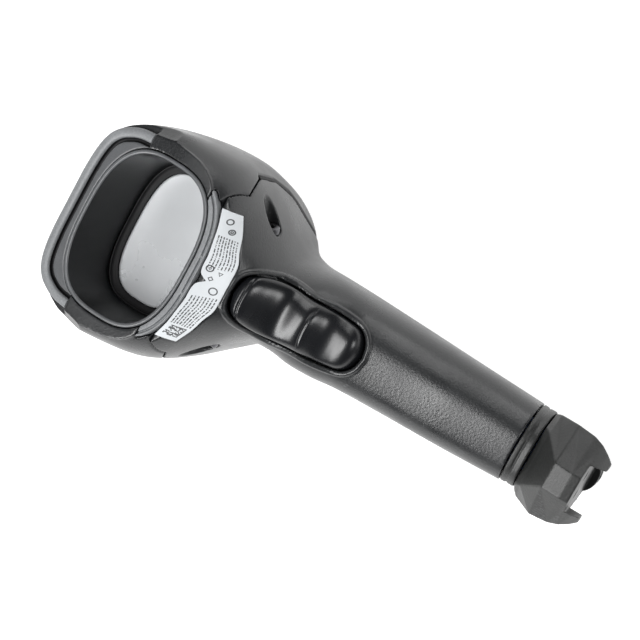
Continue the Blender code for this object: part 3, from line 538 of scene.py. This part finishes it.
class Nodes:
    """Short calls for a material's nodes."""

    def __init__(self, name):
        self.material = bpy.data.materials.new(name)
        self.material.use_nodes = True
        self.tree = self.material.node_tree
        self.shader = self.tree.nodes["Principled BSDF"]
        self.place = self.add("ShaderNodeTexCoord").outputs["Object"]

    def add(self, kind, inputs=None, **settings):
        node = self.tree.nodes.new(kind)
        for key, value in settings.items():
            setattr(node, key, value)
        for key, value in (inputs or {}).items():
            if isinstance(value, bpy.types.NodeSocket):
                self.tree.links.new(value, node.inputs[key])
            else:
                node.inputs[key].default_value = value
        return node

    def noise(self, scale, detail=2.0, rough=0.5, place=None):
        inputs = {"Vector": place or self.place, "Scale": scale, "Detail": detail, "Roughness": rough}
        return self.add("ShaderNodeTexNoise", inputs).outputs["Fac"]

    def range(self, value, low, high, to_low, to_high):
        inputs = {"Value": value, "From Min": low, "From Max": high, "To Min": to_low, "To Max": to_high}
        return self.add("ShaderNodeMapRange", inputs).outputs["Result"]

    def blend(self, share, first, second):
        node = self.add("ShaderNodeMix", data_type="RGBA")
        for index, value in ((0, share), (6, first), (7, second)):
            if isinstance(value, bpy.types.NodeSocket):
                self.tree.links.new(value, node.inputs[index])
            else:
                node.inputs[index].default_value = (*value, 1.0) if index else value
        return node.outputs[2]

    def maths(self, operation, first, second):
        return self.add("ShaderNodeMath", {0: first, 1: second}, operation=operation).outputs[0]

    def set(self, **values):
        for key, value in values.items():
            socket = self.shader.inputs[key.replace("_", " ")]
            if isinstance(value, bpy.types.NodeSocket):
                self.tree.links.new(value, socket)
            else:
                socket.default_value = value
        return self

    def bump(self, height, distance_mm, strength=1.0, after=None):
        inputs = {"Height": height, "Distance": distance_mm * MM, "Strength": strength}
        if after:
            inputs["Normal"] = after
        return self.add("ShaderNodeBump", inputs).outputs["Normal"]


def moulded(name, dark, light, roughness, grain=0.35, depth=0.02, worn=None, spread_=0.06, fleck=0.35):
    """Moulded plastic or rubber: its grain's size and depth in mm, patchy colour, and worn edges."""
    n = Nodes(name)
    patches = n.range(n.noise(45.0, 4.0, 0.6), 0.3, 0.7, 0.0, 1.0)
    colour = n.blend(patches, dark, light)
    specks = n.noise(1000.0 / grain, 3.0, 0.6)
    colour = n.blend(n.range(specks, 0.35, 0.75, 0.0, fleck), colour, tuple(value * 1.7 for value in light))
    if worn:
        edge = n.add("ShaderNodeNewGeometry").outputs["Pointiness"]
        uneven = n.range(n.noise(160.0, 3.0), 0.35, 0.7, 0.2, 1.0)
        rubbed = n.maths("MULTIPLY", n.range(edge, 0.53, 0.62, 0.0, 0.7), uneven)
        colour = n.blend(rubbed, colour, worn)
    rough = n.range(n.noise(70.0, 3.0), 0.3, 0.7, roughness - spread_, roughness + spread_)
    broad = n.bump(n.noise(120.0, 2.0), 0.03, 0.3)
    return n.set(Base_Color=colour, Roughness=rough, Normal=n.bump(specks, depth, 1.0, broad)).material


def metal(name, dark, light, roughness):
    n = Nodes(name)
    stretched = n.add("ShaderNodeMapping", {"Vector": n.place, "Scale": (1.0, 1.0, 12.0)}).outputs["Vector"]
    lines = n.noise(900.0, 3.0, 0.6, stretched)
    colour = n.blend(n.noise(300.0, 3.0), dark, light)
    rough = n.range(lines, 0.3, 0.7, roughness - 0.08, roughness + 0.1)
    return n.set(Base_Color=colour, Roughness=rough, Metallic=1.0, Normal=n.bump(lines, 0.01)).material


def board(name, mask, copper):
    """A circuit board: solder mask over fine tracks."""
    n = Nodes(name)
    bricks = n.add("ShaderNodeTexBrick", {"Vector": n.place, "Scale": 420.0, "Mortar Size": 0.03})
    cells = bricks.outputs["Fac"]
    tracks = n.blend(n.maths("MULTIPLY", cells, 0.6), mask, copper)
    colour = n.blend(n.range(n.noise(500.0, 3.0), 0.55, 0.7, 0.0, 0.3), tracks, (0.5, 0.5, 0.48))
    return n.set(Base_Color=colour, Roughness=0.35, Normal=n.bump(cells, 0.02)).material


SHELL = moulded(
    "shell_grey", (0.0095, 0.0102, 0.011), (0.0155, 0.0165, 0.0175), 0.31, 0.8, 0.07, (0.06, 0.062, 0.065),
)
COVER = moulded(
    "shell_dark", (0.0085, 0.009, 0.01), (0.0145, 0.0155, 0.0165), 0.3, 0.8, 0.06, (0.055, 0.057, 0.06),
)
RUBBER_RIM = moulded(
    "rubber_rim", (0.105, 0.11, 0.115), (0.155, 0.161, 0.167), 0.46, 0.6, 0.07, (0.24, 0.245, 0.25),
)
SEAL = moulded("rubber_seal", (0.004, 0.004, 0.0045), (0.007, 0.007, 0.008), 0.6, 0.3, 0.01, fleck=0.05)
HOOD = moulded(
    "hood_black", (0.003, 0.0034, 0.004), (0.0055, 0.006, 0.007), 0.36, 0.3, 0.006, spread_=0.03, fleck=0.05,
)
# The hood lip's grey, lighter than the hood's black, is painted highlight along the lip. The upper bumper's
# inner band takes the same grey, darker than its rubber.
HOOD_LIP = moulded(
    "hood_lip", (0.045, 0.047, 0.05), (0.07, 0.073, 0.077), 0.36, 0.35, 0.02, (0.16, 0.165, 0.17),
)
TRIGGER = moulded(
    "trigger_black", (0.0045, 0.005, 0.006), (0.007, 0.0075, 0.009), 0.27, 0.25, 0.003, spread_=0.03,
    fleck=0.05,
)
FOOT_GREY = moulded(
    "foot_grey", (0.0095, 0.01, 0.0097), (0.0155, 0.0162, 0.0158), 0.42, 0.8, 0.07, (0.07, 0.072, 0.074),
)
for dull in (HOOD, SEAL):
    dull.node_tree.nodes["Principled BSDF"].inputs["Specular IOR Level"].default_value = 0.25
BLACK = moulded("module_black", (0.012, 0.012, 0.013), (0.022, 0.022, 0.023), 0.45, 0.3, 0.012)
STEEL = metal("plated_steel", (0.42, 0.42, 0.43), (0.6, 0.6, 0.62), 0.3)
DARK_STEEL = metal("dark_screw", (0.08, 0.08, 0.085), (0.16, 0.16, 0.17), 0.35)
BRASS = metal("gold_contact", (0.62, 0.47, 0.2), (0.82, 0.66, 0.34), 0.25)
BOARD = board("board_green", (0.008, 0.07, 0.028), (0.03, 0.16, 0.06))
FLEX = board("flex_amber", (0.3, 0.13, 0.02), (0.55, 0.3, 0.08))
WRAP = moulded("cell_wrap", (0.05, 0.09, 0.2), (0.08, 0.13, 0.28), 0.3, 0.8, 0.01)


def glass_material():
    """The coated window: a faint haze and a few specks of dust on a light grey film that partly reflects; the
    film's diffuse light grey is painted reflection of the bright light above.
    """
    n = Nodes("window_glass")
    haze = n.range(n.noise(38.0, 4.0, 0.6), 0.3, 0.7, 0.0, 1.0)
    dust = n.range(n.noise(2600.0, 1.0), 0.72, 0.8, 0.0, 0.5)
    colour = n.blend(dust, n.blend(haze, (0.56, 0.575, 0.59), (0.6, 0.615, 0.63)), (0.7, 0.7, 0.7))
    return n.set(Base_Color=colour, Metallic=0.35, Roughness=n.range(haze, 0.0, 1.0, 0.24, 0.3)).material


def paper_material():
    n = Nodes("label_film")
    fibre = n.noise(900.0, 4.0, 0.7)
    colour = n.blend(n.noise(60.0, 3.0), (0.56, 0.59, 0.61), (0.66, 0.68, 0.7))
    rough = n.range(fibre, 0.3, 0.7, 0.4, 0.55)
    return n.set(Base_Color=colour, Roughness=rough, Normal=n.bump(fibre, 0.01)).material


def lamp_material(name, colour):
    n = Nodes(name)
    tint = n.blend(n.noise(400.0, 2.0), colour, tuple(min(value * 1.2, 1.0) for value in colour))
    return n.set(Base_Color=tint, Roughness=0.12).material


GLASS = glass_material()
PAPER = paper_material()
INK = moulded("label_ink", (0.03, 0.032, 0.034), (0.06, 0.062, 0.065), 0.5, 0.3, 0.002)
LAMP = lamp_material("lamp_lens", (0.75, 0.78, 0.8))
STATUS = lamp_material("status_lens", (0.5, 0.54, 0.56))


# --- the two shells ------------------------------------------------------------


def rim_cut(outline):
    return prism(outline, -RIM_DEPTH - GAP, 30.0, rim_matrix())


def upper_rim_cut():
    return rim_cut(bumper_outline(44.0, 42.0, 3.2, UPPER_BUMPER_LOW - GAP, RIM_CUT_INNER))


def lower_rim_cut(half_width, reach):
    return rim_cut(lower_outline(half_width, reach, RIM_SQUARE, LOWER_BUMPER_LOW - GAP, RIM_CUT_INNER))


def mouth():
    return loft(hood_rings(LIP_WALL + GAP, (-20.0, 0.0, 30.0)), rim_matrix())


def make_housing():
    housing = outer_form(SEAM_HEIGHT + 0.05, 150.0)
    cavity = combine(outer_form(84.0, 160.0, WALL, 2.0, 96), [rim_half_space(RIM_FLANGE)])
    bore = rod(BORE_RADIUS, 80.0, along_handle(0, 20.0, 0))
    outline = trigger_outline(TRIGGER_GAP)
    opening = front_prism(outline, 5.0, 60.0)
    cuts = [
        cavity, bore, above_seam(-GAP / 2), rim_half_space(0.02), mouth(), lower_rim_cut(34.0, 34.0), opening,
    ]
    combine(housing, cuts)
    for side in (-1, 1):
        inner = screw_frame(side) @ Matrix.Translation((0, 0, -3 * MM))
        boss = combine(rod(6.6, 17.0, inner), [outer_form(100.0, 160.0, 0.6, 2.0, 96)], "INTERSECT")
        combine(housing, [boss], "UNION")
        recess = rod(3.5, 30.0, screw_frame(side) @ Matrix.Translation((0, 0, 2.5 * MM)), top_radius=3.7)
        shank = rod(1.6, 30.0, screw_frame(side) @ Matrix.Translation((0, 0, -15 * MM)), 32)
        combine(housing, [recess, shank])
    screw_hole = rod(1.4, 14.0, along_handle(0, 24.0, BATTERY_SCREW_Z), 24)
    combine(housing, [screw_hole, chin_sheet(0.35, 0.5, 4.0)])
    soften(housing, FINE)
    lip_height, lip_half = TRIGGER_LIP
    waist_height, waist_reach = TRIGGER_WAIST

    def lip(local, facing):
        """The raised lip round the trigger, lower at its waist."""
        x, height, z = local.T
        nearby = (np.abs(x) < 14.5) & (height > 79.0) & (height < 129.0) & (z > 8.0)
        rise = np.zeros(len(x))
        picked = np.flatnonzero(nearby)
        top = np.array([chin_z(a, b) for a, b in zip(x[picked], height[picked])])
        outside = outline_distance(outline, x[picked], height[picked])
        profile = np.clip(1.0 - ((outside - lip_half) / lip_half) ** 2, 0.0, 1.0)
        waist = 0.35 + 0.65 * np.clip(np.abs(height[picked] - waist_height) / waist_reach, 0.0, 1.0)
        on_skin = np.clip(1.0 - (top - z[picked] - 0.3) / 0.5, 0.0, 1.0)
        rise[picked] = lip_height * profile * waist * on_skin * (facing[picked, 2] > 0.1)
        return rise

    shift_vertices(housing, lip)
    finish_piece(housing, "grip_shell", SHELL, "grey_shell", "main_housing")


def make_cover():
    cover = outer_form(110.0, FORM[-1][0] - 0.05)
    cavity = combine(outer_form(100.0, FORM[-1][0] - 3.0, WALL, 2.0, 96), [rim_half_space(RIM_FLANGE)])
    below = side_prism(
        [(height + GAP / 2, z) for height, z in SEAM_FRONT]
        + [(height + GASKET_HIGH + GAP, z) for height, z in SEAM_BACK]
        + [(20.0, -60.0), (20.0, 60.0)],
    )
    hole = rod(2.9, 14.0, along_handle(0, 176.0, 8.0), 40)
    for side in (-1, 1):
        outline = [(side * x, y) for x, y in CLAW][::-side]
        claw = loft([flat_ring(offset_outline(outline, grow), z) for grow, z in CLAW_RISE], rim_matrix())
        combine(cover, [claw], "UNION")
    lower_cut = lower_rim_cut(*(size + GAP for size in LOWER_BUMPER))
    combine(cover, [
        cavity, below, rim_half_space(0.02), mouth(), upper_rim_cut(), lower_cut, rim_shoulder(), hole,
    ])
    soften(cover, FINE)
    finish_piece(cover, "head_cover", COVER, "dark_shell", "upper_cover")


def chin_sheet(grow, under, over, steps=40, across=14):
    """A sheet that follows the chin within the label's outline."""
    rings = []
    for step in range(-steps, steps + 1):
        x = step / steps * (LABEL_HALF + grow)
        _, low, high = smooth_rows(LABEL_EDGES, [min(abs(x), LABEL_HALF)])[0]
        heights = [low - grow + (high - low + 2 * grow) * i / across for i in range(across + 1)]
        top = [point(x, height, chin_z(x, height) + over) for height in heights]
        rings.append(top + [point(x, height, chin_z(x, height) - under) for height in reversed(heights)])
    return loft(rings)


def make_gasket():
    strip = outer_form(104.0, 143.0, 0.2)
    under = [(height + GAP / 2 - 0.05, z) for height, z in SEAM_BACK]
    over = [(height + GASKET_HIGH + 0.1, z) for height, z in reversed(SEAM_BACK)]
    combine(strip, [side_prism(under + over)], "INTERSECT")
    combine(strip, [outer_form(100.0, 150.0, WALL - 0.3, 2.0, 96)])
    soften(strip, 0.25, 3)
    finish_piece(strip, "seam_strip", SEAL, "rubber", "seam_gasket")


# --- the rim, the hood and the window ------------------------------------------


def rim_places(obj):
    """The middle of each face in the window's own frame, in mm."""
    middles = np.empty(len(obj.data.polygons) * 3, np.float32)
    obj.data.polygons.foreach_get("center", middles)
    back = np.array((LYING @ rim_matrix()).inverted())
    return (middles.reshape(-1, 3) @ back[:3, :3].T + back[:3, 3]) / MM


def make_rim():
    inner = (LIP[0] + LIP_WALL + GAP, LIP[1] + LIP_WALL + GAP, LIP[2])
    edge = rim_edge()
    rings = [flat_ring(offset_outline(edge, -distance), z) for distance, z in BUMPER_PROFILE]
    upper = loft(rings, rim_matrix(), closed=True)
    band = prism(offset_outline(edge, -4.7), -RIM_DEPTH, -1.15, rim_matrix())
    combine(band, [prism(superellipse(*inner, 96), -9.0, 9.0, rim_matrix())])
    combine(upper, [band], "UNION")
    above = Matrix.Translation((0, (30 + UPPER_BUMPER_LOW) * MM, 0))
    combine(upper, [block((90.0, 60.0, 20.0), rim_matrix() @ above)], "INTERSECT")
    combine(upper, [outer_form(110.0, FORM[-1][0] - 0.05, 0.1)], "INTERSECT")
    soften(upper, 0.26, 4)
    finish_piece(upper, "upper_bumper_skin", RUBBER_RIM, "rim_rubber", "upper_rim_bumper")
    upper.data.materials.append(SEAL)
    upper.data.materials.append(HOOD_LIP)
    places = rim_places(upper)
    inward = -outline_distance(edge, places[:, 0], places[:, 1])
    # The groove's walls and floor take the black seal rubber: painted shade in the groove.
    groove = (places[:, 2] < -1.4) & (inward > 3.0) & (inward < 5.2)
    kinds = np.where(groove, 1, np.where(inward > 4.6, 2, 0)).astype(np.int32)
    upper.data.polygons.foreach_set("material_index", kinds)
    outline = lower_outline(*LOWER_BUMPER, RIM_SQUARE, LOWER_BUMPER_LOW, inner)
    lower = prism(outline, -RIM_DEPTH, 0.2, rim_matrix())
    line = lower_outline(28.8, 22.9, RIM_SQUARE, LOWER_BUMPER_LOW - 4.0, (28.2, 22.3, RIM_SQUARE))
    groove = prism(line, -0.6, 3.0, rim_matrix())
    combine(lower, [groove])
    soften(lower, 0.24, 3)
    finish_piece(lower, "lower_bumper_skin", RUBBER_RIM, "rim_rubber", "lower_rim_bumper")


def make_hood():
    """The funnel: a thin wall with a rounded lip and a small step above the window."""
    depths = [0.35] + spread(0.8, WINDOW_DEPTH - 0.1, 1.0)
    outside = hood_rings(LIP_WALL, depths)
    inside = hood_rings(0.0, [depths[0] + 0.1] + depths[1:])
    lip = hood_rings(LIP_WALL - 0.35, (0.05,)) + hood_rings(0.35, (0.05,))
    rings = [*inside[::-1], lip[1], lip[0], *outside]
    hood = loft(rings, rim_matrix(), closed=True)
    finish_piece(hood, "hood_funnel", HOOD, "hood_black", "hood")
    # The lip's faces take the lighter grey: painted highlight along the hood's lip.
    hood.data.materials.append(HOOD_LIP)
    lip_faces = rim_places(hood)[:, 2] > -0.6
    hood.data.polygons.foreach_set("material_index", lip_faces.astype(np.int32))


def make_window():
    profile = (  # size, growth and depth round the seal's section
        (FUNNEL_END, 1.2, 25.2), (FUNNEL_END, 1.3, 27.5), (PANE, -0.1, 27.5), (PANE, -0.2, 26.0),
        (PANE, 0.1, 25.75), (PANE, 0.8, 25.7), (FUNNEL_END, -0.5, 25.6), (FUNNEL_END, -0.4, 25.2),
        (FUNNEL_END, -0.2, 25.1), (FUNNEL_END, 0.0, 25.1), (FUNNEL_END, 0.2, 25.15),
    )
    rings = [flat_ring(superellipse(*size, 96, grow), -depth) for size, grow, depth in profile]
    finish_piece(loft(rings, rim_matrix(), closed=True), "window_frame", SEAL, "rubber", "window_seal")
    profile = (  # distance from the pane's edge, and depth
        (3.0, 26.2), (0.9, 26.2), (0.6, 26.2), (0.2, 26.35), (0.15, 26.7), (0.4, 26.85), (3.0, 26.86),
    )
    rings = [flat_ring(superellipse(*PANE, 96, -inset), -depth) for inset, depth in profile]
    pane = loft(rings, rim_matrix())
    finish_piece(pane, "window_pane", GLASS, "glass", "window")


# --- the label -------------------------------------------------------------------


def make_label():
    label = chin_sheet(0.0, 0.3, -LABEL_UNDER, 60, 20)
    finish_piece(label, "chin_label", PAPER, "label_white", "label", smooth=False)


def make_print():
    """Generic print on the label: rows of bars, plain rings and a block of squares."""
    bm = bmesh.new()
    chance = random.Random(11)

    def ink(outline):
        """A flat patch of ink on the label, from (x, height) corners."""
        corners = [point(x, height, chin_z(x, height) - INK_UNDER) for x, height in outline]
        bm.faces.new([bm.verts.new(corner) for corner in corners])

    def edges(x):
        return smooth_rows(LABEL_EDGES, [min(abs(x), LABEL_HALF)])[0][1:]

    def bar(x, width, share, tall):
        low_a, high_a = edges(x)
        low_b, high_b = edges(x + width)
        at_a = low_a + (high_a - low_a) * share
        at_b = low_b + (high_b - low_b) * share
        ink([(x, at_a), (x + width, at_b), (x + width, at_b + tall), (x, at_a + tall)])

    def ring(x, height, radius, sides, thick):
        for step in range(sides):
            a, b = (2 * math.pi * (step + k) / sides for k in (0, 1))
            places = ((radius, a), (radius, b), (radius - thick, b), (radius - thick, a))
            ink([(x + r * math.cos(angle), height + r * math.sin(angle)) for r, angle in places])

    for row in range(TEXT_ROWS):
        share = 0.1 + row * 0.105
        for start, stop in ((4.0 + row * 0.25, 16.4), (-14.8, -5.6 + row * 0.2)):
            x = start
            while x < stop:
                width = chance.choice((0.3, 0.5, 0.7, 0.9, 1.2))
                bar(x, min(width, stop - x), share, 0.33)
                x += width + chance.choice((0.2, 0.25, 0.4))
    for x in range(CODE_COUNT):
        for y in range(CODE_COUNT):
            if chance.random() < 0.55 or x == 0 or y == 0:
                left = CODE_LEFT + x * CODE_PITCH
                low, high = edges(left)
                base = low + (high - low) * 0.16 + y * CODE_PITCH
                right, top = left + CODE_SQUARE, base + CODE_SQUARE
                ink([(left, base), (right, base), (right, top), (left, top)])
    for mark in LABEL_MARKS:
        ring(*mark)
    finish_piece(solid_from(bm), "label_print", INK, "board_black", smooth=False)


# --- the trigger -------------------------------------------------------------------


def make_trigger():
    """A crowned trigger with two finger hollows, each with a fine groove over it."""
    bottom, top = TRIGGER_OUTLINE[-1][1], TRIGGER_OUTLINE[0][1]
    heights = spread(bottom, top, 0.45)
    widths = smooth_rows([(height, width) for width, height in reversed(TRIGGER_OUTLINE)], heights)
    faces = smooth_rows(TRIGGER_FACE, heights)
    rings = []

    def swell(amount, middle, reach):
        return amount * math.exp(-((height - middle) / reach) ** 2)

    for (height, width), (_, z) in zip(widths, faces):
        end = min(height - bottom, top - height)
        hollow = sum(swell(*row) for row in TRIGGER_HOLLOWS)
        ridge = swell(*TRIGGER_RIDGE)
        fall = 3.4 * (1.0 - math.sqrt(max(1.0 - (1.0 - min(end / 5.5, 1.0)) ** 2, 0.0)))
        width = max(width - 0.05, 0.4)
        thick = 5.0 if width > 4 else 3.2 + 1.8 * (max(width, 1.0) - 1.0) / 3.0
        middle = z - 0.05 - thick
        rise = max(thick - hollow + ridge - fall, 0.3)
        skirt = thick * (1.1 if 99.0 < height < 115.0 else 0.6)
        section = superellipse(width, 1.0, 2.1, 72)
        rings.append([point(x, height, middle + y * (rise if y > 0 else skirt)) for x, y in section])
    trigger = loft(rings)
    home = Matrix.Translation(point(0, *PIVOT))
    across = Matrix.Rotation(math.pi / 2, 4, "Y")
    nose = block((5.0, 3.6, 7.6), Matrix.Translation(point(0, SWITCH_HEIGHT, PLUNGER_TOP + GAP + 3.8)))
    web = block((7.0, 6.4, 11.0), home @ Matrix.Translation((0, 0, 4.5 * MM)))
    hub = rod(3.4, 9.0, home @ across @ Matrix.Translation((0, 0, -4.5 * MM)))
    combine(trigger, [hub, web, nose], "UNION")
    combine(trigger, [rod(1.5 + GAP, 30.0, home @ across @ Matrix.Translation((0, 0, -15 * MM)), 40)])
    soften(trigger, 0.26, 6)

    def grooves(local, facing):
        """The fine groove over each hollow."""
        x, height, z = local.T
        depth, reach = 0.4, 0.36
        front = np.clip(facing[:, 2] * 2.0 - 0.3, 0.0, 1.0) * np.clip(1.2 - (x / 7.6) ** 2, 0.0, 1.0)
        line = height + 0.012 * x**2
        return -depth * front * sum(np.exp(-((line - middle) / reach) ** 2) for middle in TRIGGER_GROOVES)

    shift_vertices(trigger, grooves)
    finish_piece(trigger, "trigger_skin", TRIGGER, "trigger_black", "trigger", body="trigger_body")


# --- the foot ----------------------------------------------------------------------


def make_foot():
    rings = []
    for height, front_half, front, half_width, widest, flank_half, heel_half, heel in FOOT:
        half = [(front_half, front), (half_width, widest), (flank_half, FLANK_Z), (heel_half, heel)]
        outline = half + [(-x, z) for x, z in reversed(half)]
        rings.append([point(x, height, z) for x, z in outline])
    foot = loft(rings)
    far = 20.0
    under = [(NOTCH_HALF, -far), (NOTCH_HALF, NOTCH_FLOOR), (-NOTCH_HALF, NOTCH_FLOOR), (-NOTCH_HALF, -far)]
    beyond = [(far, NOTCH_FLOOR), (far, -far), (-far, -far), (-far, NOTCH_FLOOR)]
    heel = [(-x, height) for x, height in reversed(HEEL_END)] + list(HEEL_END[1:])
    wide = [(far, -far), (far, NOTCH_FLOOR), (-far, NOTCH_FLOOR), (-far, -far)]
    cuts = [
        front_prism(under, HEEL_FRONT, 40.0), front_prism(wide, HEEL_FRONT, LOBE_BACK),
        front_prism(heel + beyond, -40.0, HEEL_FRONT),
        rod(CELL_RADIUS + GAP, 40.0, along_handle(0, CELL_BOTTOM - 1.5, 0)),
        rod(1.4, 60.0, along_handle(0, -10.0, BATTERY_SCREW_Z), 24),
        rod(2.6, 30.0, along_handle(0, FOOT_SCREW_SEAT - 30.0, BATTERY_SCREW_Z), 40),
    ]
    for side in (-1, 1):
        place = along_handle(side * 3.2, NOTCH_FLOOR, 12.0)
        cuts.append(rod(1.3 + GAP, 4.0, place @ Matrix.Translation((0, 0, -1 * MM)), 32))
    combine(foot, cuts, solver="EXACT")
    soften(foot, 0.26, 7)
    finish_piece(foot, "foot_skin", FOOT_GREY, "foot_grey", "foot", body="battery_body")


def make_collar():
    profile = (  # height and half width
        (22.75, 13.2), (23.1, 13.5), (25.0, 13.45), (25.2, 13.1), (25.6, 13.1), (25.8, 13.5), (27.35, 13.6),
    )
    rings = []
    for height, half in profile:
        section = superellipse(half, half, 2.3, 96, -0.03)
        rings.append([point(x, height, z * 1.13 - 0.4) for x, z in section])
    collar = loft(rings)
    bore = rod(BORE_RADIUS, 60.0, along_handle(0, 5.0, 0))
    combine(collar, [bore, rod(1.4, 60.0, along_handle(0, 0.0, BATTERY_SCREW_Z), 24)])
    soften(collar, 0.25, 2)
    finish_piece(collar, "collar_ring", FOOT_GREY, "dark_shell", "collar", body="battery_body")


def star(radius, points=6, share=0.72, count=48):
    """A round outline with as many flutes as points, as a screw's drive has."""
    outline = []
    for step in range(count):
        angle = 2 * math.pi * step / count
        reach = radius * (1.0 - (1.0 - share) * (0.5 - 0.5 * math.cos(points * angle)))
        outline.append((reach * math.cos(angle), reach * math.sin(angle)))
    return outline


def make_screws():
    profile = (  # radius and Z
        (2.75, 4.75), (2.9, 4.55), (2.9, 2.86), (1.2, 2.86), (1.2, -5.5), (0.0, -5.5), (0.0, 4.8), (1.6, 4.8),
    )
    for side, name in ((-1, "left_housing_screw"), (1, "right_housing_screw")):
        screw = turned(profile[::-1], screw_frame(side))
        combine(screw, [prism(star(1.5), 3.4, 8.0, screw_frame(side))], solver="EXACT")
        finish_piece(screw, f"{name}_head", DARK_STEEL, "steel", name, smooth=False)
    seat = Matrix.Translation(point(0, FOOT_SCREW_SEAT, BATTERY_SCREW_Z))
    down = seat @ Matrix.Rotation(-math.pi / 2, 4, "X")
    profile = (
        (2.0, 2.38), (2.2, 2.15), (2.2, GAP), (1.0, GAP), (1.0, -28.0), (0.0, -28.0), (0.0, 2.4), (1.2, 2.4),
    )
    screw = turned(profile[::-1], down)
    combine(screw, [prism(star(1.2), 1.3, 6.0, down)], solver="EXACT")
    finish_piece(
        screw, "foot_screw_head", DARK_STEEL, "steel", "foot_screw", body="battery_body", smooth=False,
    )


def paint_cad_nodes():
    finishes = {
        STEEL: (
            "imager_bracket", "decoder_shield", "left_board_screw", "right_board_screw", "trigger_pin",
            "switch_plunger", "trigger_spring",
        ),
        BRASS: (
            "left_contact_spring", "right_contact_spring", "left_charge_contact", "right_charge_contact",
        ),
        BOARD: ("main_board", "radio_module", "trigger_board", "contact_board"),
        BLACK: ("imager_module", "lens_barrel", "aimer_tube", "beeper", "trigger_switch"),
        COVER: ("battery_carrier", "trigger_bracket"),
        GLASS: ("camera_lens",),
        LAMP: ("left_lamp", "right_lamp"),
        STATUS: ("indicator_light",),
        FLEX: ("imager_flex",),
        WRAP: ("battery_cell",),
    }
    for material, nodes in finishes.items():
        for node in nodes:
            data = frame["nodes"][node].data
            data.materials.clear()
            data.materials.append(material)


# --- the studio --------------------------------------------------------------------


def make_floor():
    bm = bmesh.new()
    bmesh.ops.create_grid(bm, x_segments=2, y_segments=2, size=3.0)
    mesh = bpy.data.meshes.new("floor")
    bm.to_mesh(mesh)
    bm.free()
    floor = bpy.data.objects.new("floor", mesh)
    scene.collection.objects.link(floor)
    floor.location.z = cad_box[0][2] - 0.0002
    n = Nodes("floor_pale")
    colour = n.blend(n.noise(2.0, 2.0), (0.3, 0.3, 0.3), (0.34, 0.34, 0.34))
    n.set(Base_Color=colour, Roughness=0.9, Emission_Color=(1.0, 1.0, 1.0, 1.0), Emission_Strength=0.95)
    mesh.materials.append(n.material)


def area_light(name, place, size, power):
    light = bpy.data.lights.new(name, "AREA")
    light.shape = "RECTANGLE"
    light.size, light.size_y = size
    light.energy = power
    obj = bpy.data.objects.new(name, light)
    scene.collection.objects.link(obj)
    obj.location = place
    obj.rotation_euler = (Vector(LIGHT_AIM) - Vector(place)).to_track_quat("-Z", "Y").to_euler()


def make_light():
    world = bpy.data.worlds.new("studio")
    world.use_nodes = True
    background = world.node_tree.nodes["Background"].inputs
    background["Color"].default_value = (1.0, 1.0, 1.0, 1.0)
    background["Strength"].default_value = 0.08
    scene.world = world
    for light in LIGHTS:
        area_light(*light)
    scene.view_settings.view_transform = "Standard"


def place_camera():
    """The photograph's view: from above the scanner's end and a little to one side, rolled."""
    turn = LYING.to_3x3()
    ways = (VIEW, VIEW_LEVEL, VIEW_RISING)
    toward, level, rising = (turn @ Vector((-x, -height, z)) for x, height, z in ways)
    roll = math.radians(VIEW_ROLL)
    right = level * math.sin(roll) - rising * math.cos(roll)
    up = level * math.cos(roll) + rising * math.sin(roll)
    place = LYING @ point(-VIEW_TARGET[0], VIEW_TARGET[1], VIEW_TARGET[2]) + toward * VIEW_DISTANCE
    data = bpy.data.cameras.new("camera")
    data.lens = VIEW_LENS
    data.sensor_width = 36.0
    data.clip_start = 0.01
    camera = bpy.data.objects.new("camera", data)
    scene.collection.objects.link(camera)
    camera.matrix_world = Matrix((
        (right.x, up.x, toward.x, place.x),
        (right.y, up.y, toward.y, place.y),
        (right.z, up.z, toward.z, place.z),
        (0.0, 0.0, 0.0, 1.0),
    ))
    scene.camera = camera


for old in [obj for obj in scene.objects if obj.type in ("LIGHT", "CAMERA")]:
    bpy.data.objects.remove(old, do_unlink=True)
place_camera()
make_floor()
make_light()
make_housing()
make_cover()
make_gasket()
make_rim()
make_hood()
make_window()
make_label()
make_print()
make_trigger()
make_foot()
make_collar()
make_screws()
paint_cad_nodes()
